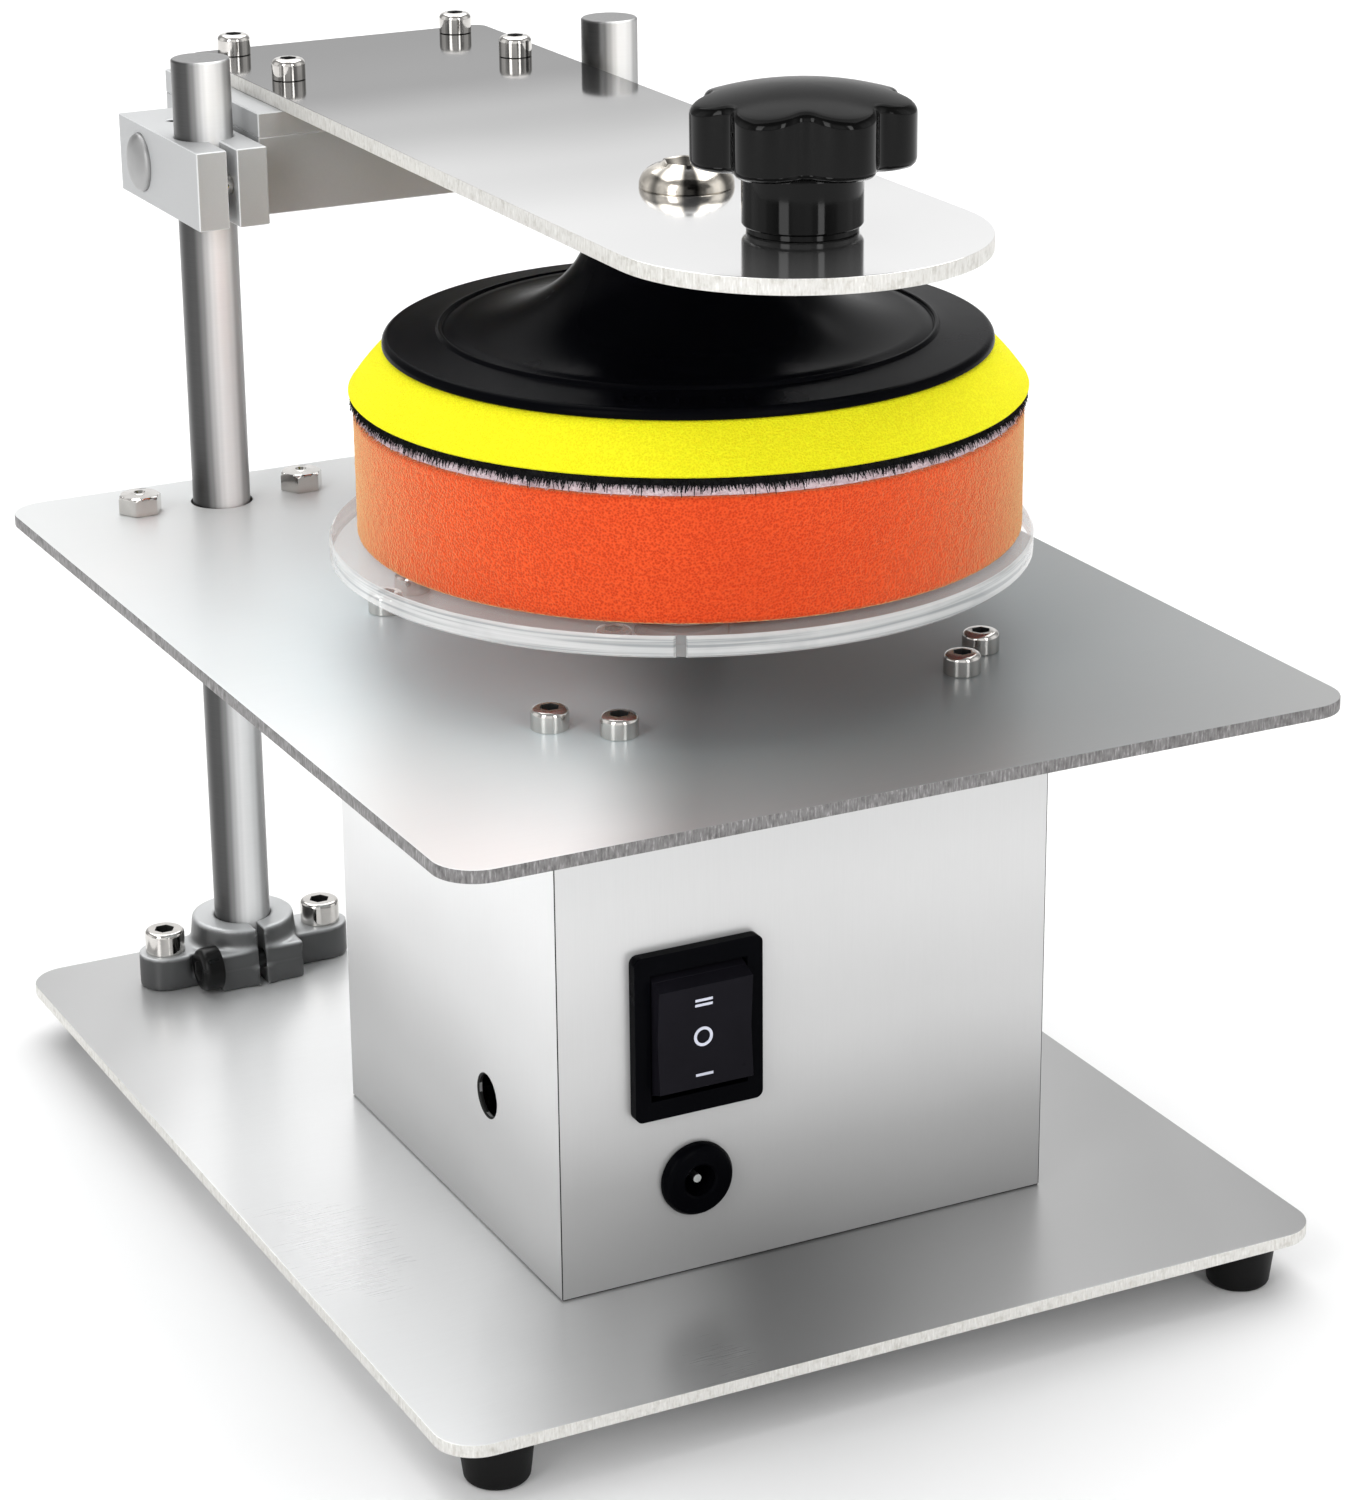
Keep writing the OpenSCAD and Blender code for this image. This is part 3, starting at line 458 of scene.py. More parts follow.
def open_cell_foam(name, deep, pale, cell_scale, sheen, speck=None, glow=None):
    """Foam whose skin is cut cells: pale struts between deeper pores."""
    n = new_material(name, {"Specular IOR Level": 0.15, "Sheen Weight": sheen, "Sheen Roughness": 0.42})
    n.shader.inputs["Sheen Tint"].default_value = (*(glow or pale), 1)
    n.shader.inputs["Subsurface Weight"].default_value = 0.12
    n.shader.inputs["Subsurface Radius"].default_value = (0.004, 0.001, 0.0005)
    n.shader.inputs["Subsurface Scale"].default_value = 1.0
    pores = cells(n, cell_scale)
    fine = grain(n, cell_scale * 2.2, 3.0, 0.7)
    cloud = grain(n, 28, 4.0)
    mottled = n.math("ADD", n.math("MULTIPLY", pores, 0.9), n.math("MULTIPLY", fine, 0.6))
    base = n.mix(n.span(mottled, 0.45, 0.95), (*deep, 1), (*pale, 1))
    base = n.mix(n.span(cloud, 0.35, 0.7, 0, 0.3), base, (*deep, 1))
    if speck:
        share = n.span(cells(n, 420), 0.0, 0.09, 1, 0)
        rare = n.span(grain(n, 55, 2.0), 0.66, 0.72)
        base = n.mix(n.math("MULTIPLY", share, rare), base, (*speck, 1))
    return surface(n, base, n.span(fine, 0.3, 0.7, 0.75, 0.95), bump(n, mottled, 0.55, 0.0004))


def fibre(name, dark, pale, scale, sheen=0.4):
    """Matted textile fibre."""
    n = new_material(name, {"Specular IOR Level": 0.15, "Sheen Weight": sheen, "Sheen Roughness": 0.5})
    strands = grain(n, scale, 4.0, 0.7)
    clump = cells(n, scale * 0.35)
    base = n.mix(n.span(strands, 0.3, 0.7), (*dark, 1), (*pale, 1))
    base = n.mix(n.span(clump, 0.5, 0.9, 0, 0.4), base, (*dark, 1))
    return surface(n, base, n.span(clump, 0, 1, 0.7, 0.95), bump(n, strands, 0.5, 0.0003))


def wound_copper():
    """Enamelled wire wound round a core."""
    n = new_material("copper_winding", {"Metallic": 1.0, "Roughness": 0.3})
    turns = n.add("ShaderNodeTexWave", {"Vector": n.coords, "Scale": 900, "Distortion": 1.2},
                  bands_direction="Z").outputs["Fac"]
    n.put(n.shader.inputs["Base Color"], n.mix(turns, (0.25, 0.07, 0.02, 1), (0.85, 0.38, 0.16, 1)))
    n.put(n.shader.inputs["Normal"], bump(n, turns, 0.6, 0.0003))
    return n.material


SLOTS = {
    "stainless_sheet": brushed_steel("stainless_sheet", base_bands, PLATE_BRUSH, (0.26, 0.32), 0.4),
    "box_sheet": brushed_steel("box_sheet", box_bands, BOX_BRUSH, (0.3, 0.36), 0.4),
    "bright_steel": plated("bright_steel", 0.7, 0.06, (1.0, 0.97, 0.93)),
    "plain_steel": plated("plain_steel", 0.68, 0.2, (0.96, 1.0, 0.98)),
    "ground_rod": ground_rod(),
    "cast_aluminium": blasted("cast_aluminium", 0.5),
    "blackened_steel": moulded("blackened_steel", 0.003, 0.3),
    "motor_steel": blasted("motor_steel", 0.35, 1800, (0.3, 0.45), 0.8),
    "copper_winding": wound_copper(),
    "brass_tab": plated("brass_tab", 0.8, 0.2, (1.0, 0.78, 0.4)),
    "black_rubber": moulded("black_rubber", 0.005, 0.5, 0.3, 1400, shine=0.3),
    "black_moulding": moulded("black_moulding", 0.002, 0.24, 0.1, 2400, (0.85, 0.9, 1.3), 0.035),
    "knob_phenolic": knob_phenolic(),
    "nylon": moulded("nylon", 0.8, 0.35, 0.1, 1200, (1, 0.98, 0.9)),
    "clear_acrylic": clear_acrylic(),
    "wire_insulation": moulded("wire_insulation", 0.4, 0.35, 0.1, 900, (1, 0.08, 0.05)),
    "yellow_foam": open_cell_foam("yellow_foam", (0.84, 0.76, 0.006), (0.95, 0.9, 0.015), 2600, 0.1,
                                  speck=(0.1, 0.09, 0.02)),
    "hook_fabric": fibre("hook_fabric", (0.002, 0.002, 0.0025), (0.012, 0.012, 0.014), 1500, 0.0),
    "loop_fabric": fibre("loop_fabric", (0.5, 0.36, 0.4), (0.95, 0.86, 0.9), 1700),
    "orange_foam": open_cell_foam("orange_foam", (0.62, 0.032, 0.004), (0.9, 0.1, 0.02), 2300, 1.0,
                                  glow=(1.0, 1.0, 0.5)),
}
DECK_SHEET = brushed_steel("deck_sheet", deck_bands, PLATE_BRUSH, (0.34, 0.4), 0.08, 0.03,
                           (0.98, 1.0, 1.0), near_sponge=(0.9, 0.99, 1.02))
ARM_SHEET = brushed_steel("arm_sheet", arm_bands, PLATE_BRUSH, (0.06, 0.1), 0.95, 0.0)
# The supports' upright faces are painted much darker: painted shade.
SUPPORT_CASTING = blasted("support_casting", 0.62, 2200, (0.28, 0.4), 0.3, 0.13)
SHAFT_END = plated("shaft_end", 0.42, 0.3)
PIVOT_STEEL = bolt_head("pivot_bolt")
ROD_END = rod_end()
# Painted shade: a near-black line on the narrow bevels of the box's folds and edges.
FOLD_SHADE = moulded("box_fold_shade", 0.01, 0.5)
SWITCH_PLASTIC = moulded("switch_plastic", 0.0075, 0.3, 0.1, 2400, (1.0, 0.93, 1.3), 0.1)
# Painted highlight: a paler copy of the cast aluminium for the narrow bevels along the blocks' edges.
EDGE_HIGHLIGHT = blasted("painted_edge_highlight", 0.8, metallic=0.3)
CUT_EDGE = cut_edge("cut_edge", (0.62, 0.6, 0.56), (0.72, 0.71, 0.68), (0.86, 0.85, 0.82), (0.42, 0.4, 0.35))
# Painted shade: a darker copy of the cut edge, for the deck's edges.
SHADED_CUT_EDGE = cut_edge("shaded_cut_edge", (0.12, 0.115, 0.115), (0.2, 0.195, 0.195), (0.4, 0.39, 0.39),
                     (0.07, 0.065, 0.065))
ACRYLIC_RIM = acrylic_rim()
# Painted shade: near-black for the hollows of hex recesses.
RECESS_SHADE = moulded("socket_shadow", 0.02, 0.4)
PRINT_WHITE = moulded("switch_print", 0.75, 0.5, 0.05, tint=(0.85, 0.87, 1.0))


SLOT_OF = {part["node"]: part["material_slot"] for part in frame["record"]["subparts"]}


def paint_cad_nodes():
    """Every CAD node that stays visible takes its record slot's material."""
    for node, slot in SLOT_OF.items():
        mesh = frame["nodes"][node].data
        mesh.materials.clear()
        mesh.materials.append(SLOTS[slot])


# ---- mesh building -----------------------------------------------------------

def body_of(node):
    return frame["nodes"][node]["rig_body"]


def add_piece(name, mesh, body):
    """Show mesh as a piece that rides a body."""
    piece = bpy.data.objects.new(name, mesh)
    bpy.context.scene.collection.objects.link(piece)
    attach(piece, body)
    return piece


def finish_piece(name, mesh, node, extra_materials=(), material=None, smooth=32, weighted=True):
    """Show mesh as a piece that stands for a CAD node, on its body, in its material."""
    slot = SLOT_OF[node]
    mesh.shade_smooth()
    mesh.set_sharp_from_angle(angle=math.radians(smooth))
    if weighted:
        mesh = modified(mesh, ("WEIGHTED_NORMAL", {"keep_sharp": True, "weight": 100}))
    for one in (material or SLOTS[slot], *extra_materials):
        mesh.materials.append(one)
    return add_piece(name, mesh, body_of(node))


def clean_bmesh(node):
    """The CAD node's mesh with shared corners and flat faces whole."""
    source = frame["nodes"][node].data
    mesh = bpy.data.meshes.new("scratch")
    mesh.from_pydata([v.co for v in source.vertices], [], [list(p.vertices) for p in source.polygons])
    bm = bmesh.new()
    bm.from_mesh(mesh)
    bpy.data.meshes.remove(mesh)
    join_doubles(bm, 1e-6)
    bmesh.ops.dissolve_limit(bm, angle_limit=math.radians(0.5), verts=bm.verts, edges=bm.edges)
    return bm


def solids(node):
    """Lowest corner, highest corner and centre of each separate solid of a CAD node."""
    bm = clean_bmesh(node)
    left = set(bm.verts)
    found = []
    while left:
        stack = [left.pop()]
        island = []
        while stack:
            vert = stack.pop()
            island.append(vert.co.copy())
            for edge in vert.link_edges:
                other = edge.other_vert(vert)
                if other in left:
                    left.remove(other)
                    stack.append(other)
        low, high = (Vector(pick(co[k] for co in island) for k in range(3)) for pick in (min, max))
        found.append((low, high, (low + high) / 2))
    bm.free()
    return sorted(found, key=lambda box: tuple(round(c, 6) for c in box[0]))


def modified(mesh, *changes):
    """mesh after modifiers; each change is (kind, settings)."""
    carrier = bpy.data.objects.new("carrier", mesh)
    bpy.context.scene.collection.objects.link(carrier)
    for kind, settings in changes:
        modifier = carrier.modifiers.new(kind, kind)
        for key, value in settings.items():
            setattr(modifier, key, value)
    graph = bpy.context.evaluated_depsgraph_get()
    result = bpy.data.meshes.new_from_object(carrier.evaluated_get(graph))
    bpy.data.objects.remove(carrier)
    return result


def cad_mesh(node, name):
    mesh = bpy.data.meshes.new(name)
    bm = clean_bmesh(node)
    bm.to_mesh(mesh)
    bm.free()
    return mesh


def skin(node, width, segments=2, limit=40, extra_materials=(), paint=None, material=None, clamp=True):
    """A copy of a CAD node with its sharp edges rounded, shown in the node's place."""
    mesh = cad_mesh(node, node + "_skin")
    bevel = {"width": width, "segments": segments, "limit_method": "ANGLE",
             "angle_limit": math.radians(limit), "miter_outer": "MITER_ARC", "use_clamp_overlap": clamp}
    mesh = modified(mesh, ("BEVEL", bevel))
    piece = finish_piece(node + "_skin", mesh, node, extra_materials, material)
    if paint:
        for face in piece.data.polygons:
            face.material_index = paint(face)
    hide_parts(node)
    return piece


def cast(node, voxel, rounds, material=None):
    """A copy of a CAD node with the soft edges of a die casting, shown in the node's place."""
    remesh = {"mode": "VOXEL", "voxel_size": voxel, "use_smooth_shade": True}
    smooth = {"factor": 0.5, "iterations": rounds}
    mesh = modified(cad_mesh(node, node + "_cast"), ("REMESH", remesh), ("SMOOTH", smooth))
    piece = finish_piece(node + "_cast", mesh, node, material=material, smooth=60, weighted=False)
    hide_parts(node)
    return piece


def turn(bm, rings, segments=64, place=Matrix(), closed=False, material=0):
    """Add a shape turned about Z to bm. Each ring is (radius, z), and each may be f(angle)."""
    loops = []
    for radius, z in rings:
        if not callable(radius) and radius <= 0:
            loops.append([bm.verts.new(place @ Vector((0, 0, z)))])
            continue
        loop = []
        for i in range(segments):
            angle = 2 * math.pi * i / segments
            r = radius(angle) if callable(radius) else radius
            level = z(angle) if callable(z) else z
            loop.append(bm.verts.new(place @ Vector((r * math.cos(angle), r * math.sin(angle), level))))
        loops.append(loop)
    pairs = list(zip(loops, loops[1:])) + ([(loops[-1], loops[0])] if closed else [])
    for low, high in pairs:
        for i in range(segments):
            j = (i + 1) % segments
            corners = (low[i % len(low)], low[j % len(low)], high[j % len(high)], high[i % len(high)])
            if len(set(corners)) > 2:
                bm.faces.new(dict.fromkeys(corners)).material_index = material


def join_doubles(bm, distance=1e-7):
    bmesh.ops.remove_doubles(bm, verts=bm.verts, dist=distance)


def arc(centre_r, centre_z, radius, start, end, steps=5):
    """Ring list along an arc; angles in degrees, 0 outwards and 90 up."""
    turns = [math.radians(start + (end - start) * i / steps) for i in range(steps + 1)]
    return [(centre_r + radius * math.cos(t), centre_z + radius * math.sin(t)) for t in turns]


def to_mesh(name, bm):
    mesh = bpy.data.meshes.new(name)
    bmesh.ops.recalc_face_normals(bm, faces=bm.faces)
    bm.to_mesh(mesh)
    bm.free()
    return mesh


def stand(node, name, bm, extra_materials=(), smooth=32, material=None, weighted=True):
    """Finish bm as the piece that stands for a CAD node."""
    piece = finish_piece(name, to_mesh(name, bm), node, extra_materials, material, smooth, weighted)
    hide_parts(node)
    return piece


def hexagon(across):
    """Radius of a hexagon that size across its flats, as f(angle)."""
    def radius(angle):
        side = math.radians(60)
        return across / 2 / math.cos((angle % side) - side / 2)
    return radius


def upright(centre, z):
    """Matrix that stands a turned shape over centre with its foot at z."""
    return Matrix.Translation((centre.x, centre.y, z))


def facing(place, axis):
    """Matrix that stands a turned shape at place with its +Z along axis."""
    return Matrix.Translation(place) @ UP.rotation_difference(Vector(axis)).to_matrix().to_4x4()


# ---- fasteners ---------------------------------------------------------------

def cap_screw_rings(head_r, head_h, shank_r, shank_l, crown):
    """Socket-head screw with its top edge rounded by crown, and the shank below z = 0."""
    body = [(0, -shank_l), (shank_r - 0.3 * MM, -shank_l), (shank_r, -shank_l + 0.3 * MM), (shank_r, 0),
            (head_r - 0.15 * MM, 0), (head_r, 0.15 * MM)]
    body += arc(head_r - crown, head_h - crown, crown, 0, 90, 6)
    return body


def cap_recess_rings(head_r, head_h):
    key = hexagon(head_r * 0.86)
    wide = lambda angle: key(angle) + 0.12 * MM
    return [(wide, head_h), (key, head_h - 0.15 * MM), (key, head_h * 0.42), (0, head_h * 0.36)]


def add_cap_screw(bm, place, axis, head_r, head_h, shank_r, shank_l, crown=0.9 * MM, segments=48):
    at = facing(place, axis)
    body = cap_screw_rings(head_r, head_h, shank_r, shank_l, crown)
    recess = cap_recess_rings(head_r, head_h)
    turn(bm, body + recess[:1], segments, at)
    # The recess takes the second material, painted shade.
    turn(bm, recess, segments, at, material=1)


def upright_cap_screws(node, head_h, crown=0.9 * MM, up=True):
    """Cap screws of a node whose screws all stand up, or all hang head down."""
    bm = bmesh.new()
    for low, high, centre in solids(node):
        head_r = (high.x - low.x) / 2
        shank_l = high.z - low.z - head_h
        seat = high.z - head_h if up else low.z + head_h
        axis = (0, 0, 1 if up else -1)
        shank_r = 2.5 * MM if head_r > 4 * MM else 2 * MM
        add_cap_screw(bm, (centre.x, centre.y, seat), axis, head_r, head_h, shank_r, shank_l, crown)
    join_doubles(bm)
    return stand(node, node + "_turned", bm, (RECESS_SHADE,))


def add_nut(bm, place, axis, across, height, bore):
    """Hexagon nut with both faces chamfered."""
    flat = hexagon(across)
    trimmed = lambda cut: (lambda angle: min(flat(angle), across / 2 + cut))
    rings = [(bore, 0), (across / 2 - 0.1 * MM, 0), (trimmed(0.25 * MM), 0.25 * MM),
             (flat, 0.7 * MM), (flat, height - 0.7 * MM), (trimmed(0.25 * MM), height - 0.25 * MM),
             (across / 2 - 0.1 * MM, height), (bore + 0.2 * MM, height), (bore, height - 0.2 * MM)]
    turn(bm, rings, 72, facing(place, axis), closed=True)


def make_fasteners():
    upright_cap_screws("deck_screws", 4 * MM, 1.1 * MM)
    upright_cap_screws("arm_screws", 4.4 * MM, 1.3 * MM)
    upright_cap_screws("base_flange_screws", 5 * MM, 0.9 * MM)
    upright_cap_screws("motor_screws", 2.4 * MM, 0.6 * MM)
    upright_cap_screws("base_screws", 2.8 * MM, 0.7 * MM, up=False)
    upright_cap_screws("foot_screws", 2.5 * MM, 0.6 * MM, up=False)
    for node in ("base_flange_nuts", "deck_flange_nuts"):
        bm = bmesh.new()
        for low, high, centre in solids(node):
            add_nut(bm, (centre.x, centre.y, low.z), UP, 8 * MM, high.z - low.z, 2.5 * MM)
        stand(node, node + "_turned", bm)
    make_deck_bolts()
    make_pinch_screws()


def make_deck_bolts():
    """Hexagon heads with a turned washer face and a centre dimple, over the deck."""
    node = "deck_flange_bolts"
    deck_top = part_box("deck_plate")[1].z
    bm = bmesh.new()
    head = hexagon(8 * MM)
    trimmed = lambda cut: (lambda angle: min(head(angle), 4 * MM + cut))
    for low, high, centre in solids(node):
        height = high.z - deck_top
        rings = [(0, low.z - deck_top), (2.5 * MM, low.z - deck_top), (2.5 * MM, 0), (3.9 * MM, 0),
                 (head, 0.15 * MM), (head, height - 1.1 * MM), (trimmed(0.3 * MM), height - 0.6 * MM),
                 (3.9 * MM, height - 0.35 * MM), (2.4 * MM, height - 0.3 * MM), (1.6 * MM, height),
                 (1.2 * MM, height), (0.6 * MM, height - 0.8 * MM), (0, height - 0.9 * MM)]
        turn(bm, rings, 72, upright(centre, deck_top))
    stand(node, node + "_turned", bm)


def make_pinch_screws():
    node = "flange_pinch_screws"
    bm = bmesh.new()
    for low, high, centre in solids(node):
        head_r = (high.z - low.z) / 2
        head_l = 4.5 * MM
        seat = (low.x + head_l, centre.y, centre.z)
        add_cap_screw(bm, seat, (-1, 0, 0), head_r, head_l, 2 * MM, high.x - low.x - head_l, 1.4 * MM)
    join_doubles(bm)
    stand(node, node + "_turned", bm, (RECESS_SHADE,))


# ---- plates, box and columns -------------------------------------------------

def upright_face(face):
    return 1 if abs(face.normal.z) < 0.5 else 0


def folded_corner(face):
    """1 for the narrow bevels between square faces, such as a fold or an edge: painted shade on the box,
    painted highlight on the blocks.
    """
    parts = sorted(abs(part) for part in face.normal)
    return 1 if parts[1] > 0.02 and parts[2] < 0.97 else 0


def make_plates():
    # The deck's edges take the darker cut edge, painted shade.
    for node, material, edge in (("base_plate", None, CUT_EDGE), ("deck_plate", DECK_SHEET, SHADED_CUT_EDGE),
                                 ("arm_plate", ARM_SHEET, CUT_EDGE)):
        skin(node, 0.25 * MM, 2, extra_materials=(edge,), paint=upright_face, material=material, clamp=False)
    # The box's narrow bevels take painted shade, a near-black line.
    skin("box_wrap", 0.34 * MM, 1, extra_materials=(FOLD_SHADE,), paint=folded_corner, clamp=False)
    skin("box_back_panel", 0.2 * MM, 1)


def make_columns():
    for node in ("column_left", "column_right"):
        low, high, centre = extent(node)
        r = (high.x - low.x) / 2
        height = high.z - low.z
        rings = [(0, 0), (r - 0.4 * MM, 0), (r, 0.4 * MM)]
        rings += arc(r - 0.5 * MM, height - 0.5 * MM, 0.5 * MM, 0, 80, 4)
        bm = bmesh.new()
        at = upright(centre, low.z)
        turn(bm, rings, 128, at)
        turn(bm, [rings[-1], (r - 1.2 * MM, height), (0, height)], 128, at, material=1)
        join_doubles(bm)
        stand(node, node + "_turned", bm, (ROD_END,))


def make_supports():
    for node in ("base_flange_left", "base_flange_right", "deck_flange_left", "deck_flange_right"):
        cast(node, 0.4 * MM, 8, SUPPORT_CASTING)
    # The blocks' narrow bevels take a painted highlight.
    for node in ("clamp_block_left", "clamp_block_right", "hinge_block", "arm_riser"):
        skin(node, 0.22 * MM, 1, 35, (EDGE_HIGHLIGHT,), folded_corner, clamp=False).data.shade_flat()


def make_hinge_shaft():
    """Shaft along X with domed ends."""
    node = "hinge_shaft"
    low, high, centre = extent(node)
    r = (high.z - low.z) / 2
    half = (high.x - low.x) / 2
    swell = 1.9 * MM
    steps = [math.radians(90 * i / 9) for i in range(9)]
    end = [(r * (0.25 + 0.75 * math.cos(t)), half - swell + swell * math.sin(t) ** 0.9) for t in steps]
    end.append((0, half))
    rings = [(radius, -z) for radius, z in reversed(end)] + end
    bm = bmesh.new()
    turn(bm, rings, 96, facing(centre, (1, 0, 0)))
    stand(node, node + "_turned", bm, material=SHAFT_END)


def make_feet():
    node = "rubber_feet"
    bm = bmesh.new()
    for low, high, centre in solids(node):
        top = (high.x - low.x) / 2
        height = high.z - low.z
        taper = 1 * MM
        rings = [(2 * MM, 4 * MM), (3.7 * MM, 4 * MM), (3.7 * MM, 0.4 * MM), (4.1 * MM, 0)]
        rings += arc(top - taper - 1.2 * MM, 1.2 * MM, 1.2 * MM, -90, 0, 5)
        rings += [(top, height - 0.4 * MM), (top - 0.3 * MM, height), (2 * MM, height)]
        turn(bm, rings, 72, upright(centre, low.z), closed=True)
    stand(node, "rubber_feet_turned", bm)


# ---- knob and pivot ----------------------------------------------------------

def lobed(size, lobes=7, twist=math.radians(12)):
    """Radius of the star knob's outline as f(angle): round lobes with tangent flutes."""
    lobe_r = size * 0.16
    lobe_c = size / 2 - lobe_r
    flute_r = size * 0.075
    half = math.pi / lobes
    reach = lobe_r + flute_r
    flute_c = lobe_c * math.cos(half) + math.sqrt(reach ** 2 - (lobe_c * math.sin(half)) ** 2)
    edge = Vector((lobe_c + (flute_c * math.cos(half) - lobe_c) * lobe_r / reach,
                   flute_c * math.sin(half) * lobe_r / reach))
    edge_angle = math.atan2(edge.y, edge.x)

    def circle_hit(centre_r, r, away, side):
        return centre_r * math.cos(away) + side * math.sqrt(max(0, r ** 2 - (centre_r * math.sin(away)) ** 2))

    def radius(angle):
        turned_by = abs((angle - twist + half) % (2 * half) - half)
        if turned_by < edge_angle:
            return circle_hit(lobe_c, lobe_r, turned_by, 1)
        return circle_hit(flute_c, flute_r, half - turned_by, -1)
    return radius


def make_knob():
    node = "star_knob"
    low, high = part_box(node)
    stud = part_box("knob_stud")
    centre = (stud[0] + stud[1]) / 2
    height = high.z - low.z
    size = 40 * MM
    outline = lobed(size)
    hub_r = 10.7 * MM
    under = 12 * MM
    crown = 3.4 * MM
    fillet = 1.3 * MM
    crown_r = (size * size / 4 + crown * crown) / (2 * crown)

    def inset(depth, share=1.0):
        return lambda angle: (outline(angle) - depth) * share

    def on_dome(radius, drop=0.0):
        return lambda angle: height - crown_r + math.sqrt(crown_r ** 2 - radius(angle) ** 2) - drop

    rings = [(0, 14 * MM), (4 * MM, 14 * MM), (4 * MM, 0), (hub_r - 1.1 * MM, 0),
             (hub_r - 0.8 * MM, 0.25 * MM), (hub_r - 0.8 * MM, 1.1 * MM),
             (hub_r - 0.25 * MM, 1.3 * MM), (hub_r, 1.7 * MM),
             (hub_r, under - 1.6 * MM), (hub_r + 0.35 * MM, under - 0.5 * MM), (hub_r + 1.3 * MM, under),
             (inset(1.6 * MM), under), (inset(0.7 * MM), under + 0.25 * MM),
             (inset(0.2 * MM), under + 0.8 * MM), (outline, under + 1.6 * MM)]
    for turned_by in (0, 22, 45, 68, 90):
        t = math.radians(turned_by)
        edge = inset(fillet * (1 - math.cos(t)))
        rings.append((edge, on_dome(edge, fillet * (1 - math.sin(t)))))
    for share in (0.93, 0.8, 0.65, 0.5, 0.35, 0.2, 0.08):
        ring = inset(fillet, share)
        rings.append((ring, on_dome(ring)))
    rings.append((0, height))
    bm = bmesh.new()
    turn(bm, rings, 280, upright(centre, low.z))
    stand(node, "star_knob_moulded", bm, smooth=50)


def make_pivot():
    node = "pivot_bolt"
    low, high, centre = extent(node)
    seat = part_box("arm_plate")[1].z
    dome_r = (high.x - low.x) / 2
    dome_h = high.z - seat
    mouth = hexagon(7.4 * MM)
    key = hexagon(5 * MM)
    key_z = dome_h * 0.86
    rings = [(0, low.z - seat), (3.7 * MM, low.z - seat), (4 * MM, low.z - seat + 0.4 * MM), (4 * MM, 0),
             (dome_r - 0.2 * MM, 0), (dome_r, 0.2 * MM), (dome_r, 0.45 * MM)]
    for i in range(1, 10):
        t = math.radians(90 * i / 10)
        radius = 4.4 * MM + (dome_r - 4.4 * MM) * math.cos(t) ** 1.15
        rings.append((radius, 0.45 * MM + (key_z - 0.3 * MM) * math.sin(t)))
    rim = lambda angle: mouth(angle) + 0.35 * MM
    bm = bmesh.new()
    at = upright(centre, seat) @ Matrix.Rotation(math.radians(8), 4, "Z")
    turn(bm, rings + [(rim, dome_h), (mouth, dome_h - 0.15 * MM), (key, 2.6 * MM), (key, 1.9 * MM)], 96, at)
    # The floor of the key takes the second material, painted shade.
    turn(bm, [(key, 1.9 * MM), (0, 1.6 * MM)], 96, at, material=1)
    join_doubles(bm)
    stand(node, "pivot_bolt_turned", bm, (RECESS_SHADE,), material=PIVOT_STEEL)
    for node in ("pivot_lock_nut", "knob_nut"):
        low, high, centre = extent(node)
        bm = bmesh.new()
        add_nut(bm, (centre.x, centre.y, low.z), UP, 13 * MM, high.z - low.z, 4 * MM)
        stand(node, node + "_turned", bm)


# ---- lap disc, pad and foams -------------------------------------------------

def make_disc():
    """Clear disc with polished bevels, countersinks and a short index notch at its rim."""
    node = "lap_disc"
    low, high, centre = extent(node)
    r = (high.x - low.x) / 2
    t = high.z - low.z
    bm = bmesh.new()
    cut = 0.45 * MM
    rings = [(0, 0), (r - cut, 0), (r, cut), (r, t - cut), (r - cut, t), (0, t)]
    turn(bm, rings, 240, upright(centre, low.z))
    mesh = to_mesh("lap_disc_body", bm)
    cutters = bmesh.new()
    for _, _, at in solids("lap_screws"):
        rings = [(0, -t - 1 * MM), (2 * MM, -t - 1 * MM), (2 * MM, -2 * MM)]
        rings += [(4.05 * MM, 0.05 * MM), (0, 0.05 * MM)]
        turn(cutters, rings, 40, upright(at, high.z))
    notch = math.radians(243)
    at = centre + Vector((math.cos(notch), math.sin(notch), 0)) * (r + 0.4 * MM)
    rings = [(0, -t), (1.3 * MM, -t), (1.3 * MM, 2 * t), (0, 2 * t)]
    turn(cutters, rings, 24, upright(at, low.z))
    tool = bpy.data.objects.new("cutter", to_mesh("cutter", cutters))
    bpy.context.scene.collection.objects.link(tool)
    mesh = modified(mesh, ("BOOLEAN", {"object": tool, "operation": "DIFFERENCE", "solver": "EXACT"}))
    bpy.data.objects.remove(tool)
    piece = finish_piece("lap_disc_turned", mesh, node, (ACRYLIC_RIM,))
    for face in piece.data.polygons:
        out = Vector((face.center.x - centre.x, face.center.y - centre.y, 0)).length
        face.material_index = 1 if out > r - 1.2 * cut and abs(face.normal.z) < 0.9 else 0
    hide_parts(node)


def rough_ring(bm, rings, segments, place, depth, scale, seed):
    """Turned shape whose skin is pushed in and out along its radius by noise."""
    turn(bm, rings, segments, place)
    offset = Vector((seed * 3.1, seed * 1.7, seed * 0.9))
    centre = place.translation
    for vert in bm.verts:
        out = Vector((vert.co.x - centre.x, vert.co.y - centre.y, 0))
        if out.length > 1 * MM:
            vert.co -= out.normalized() * depth * (0.5 + 0.5 * noise.noise(vert.co * scale + offset))


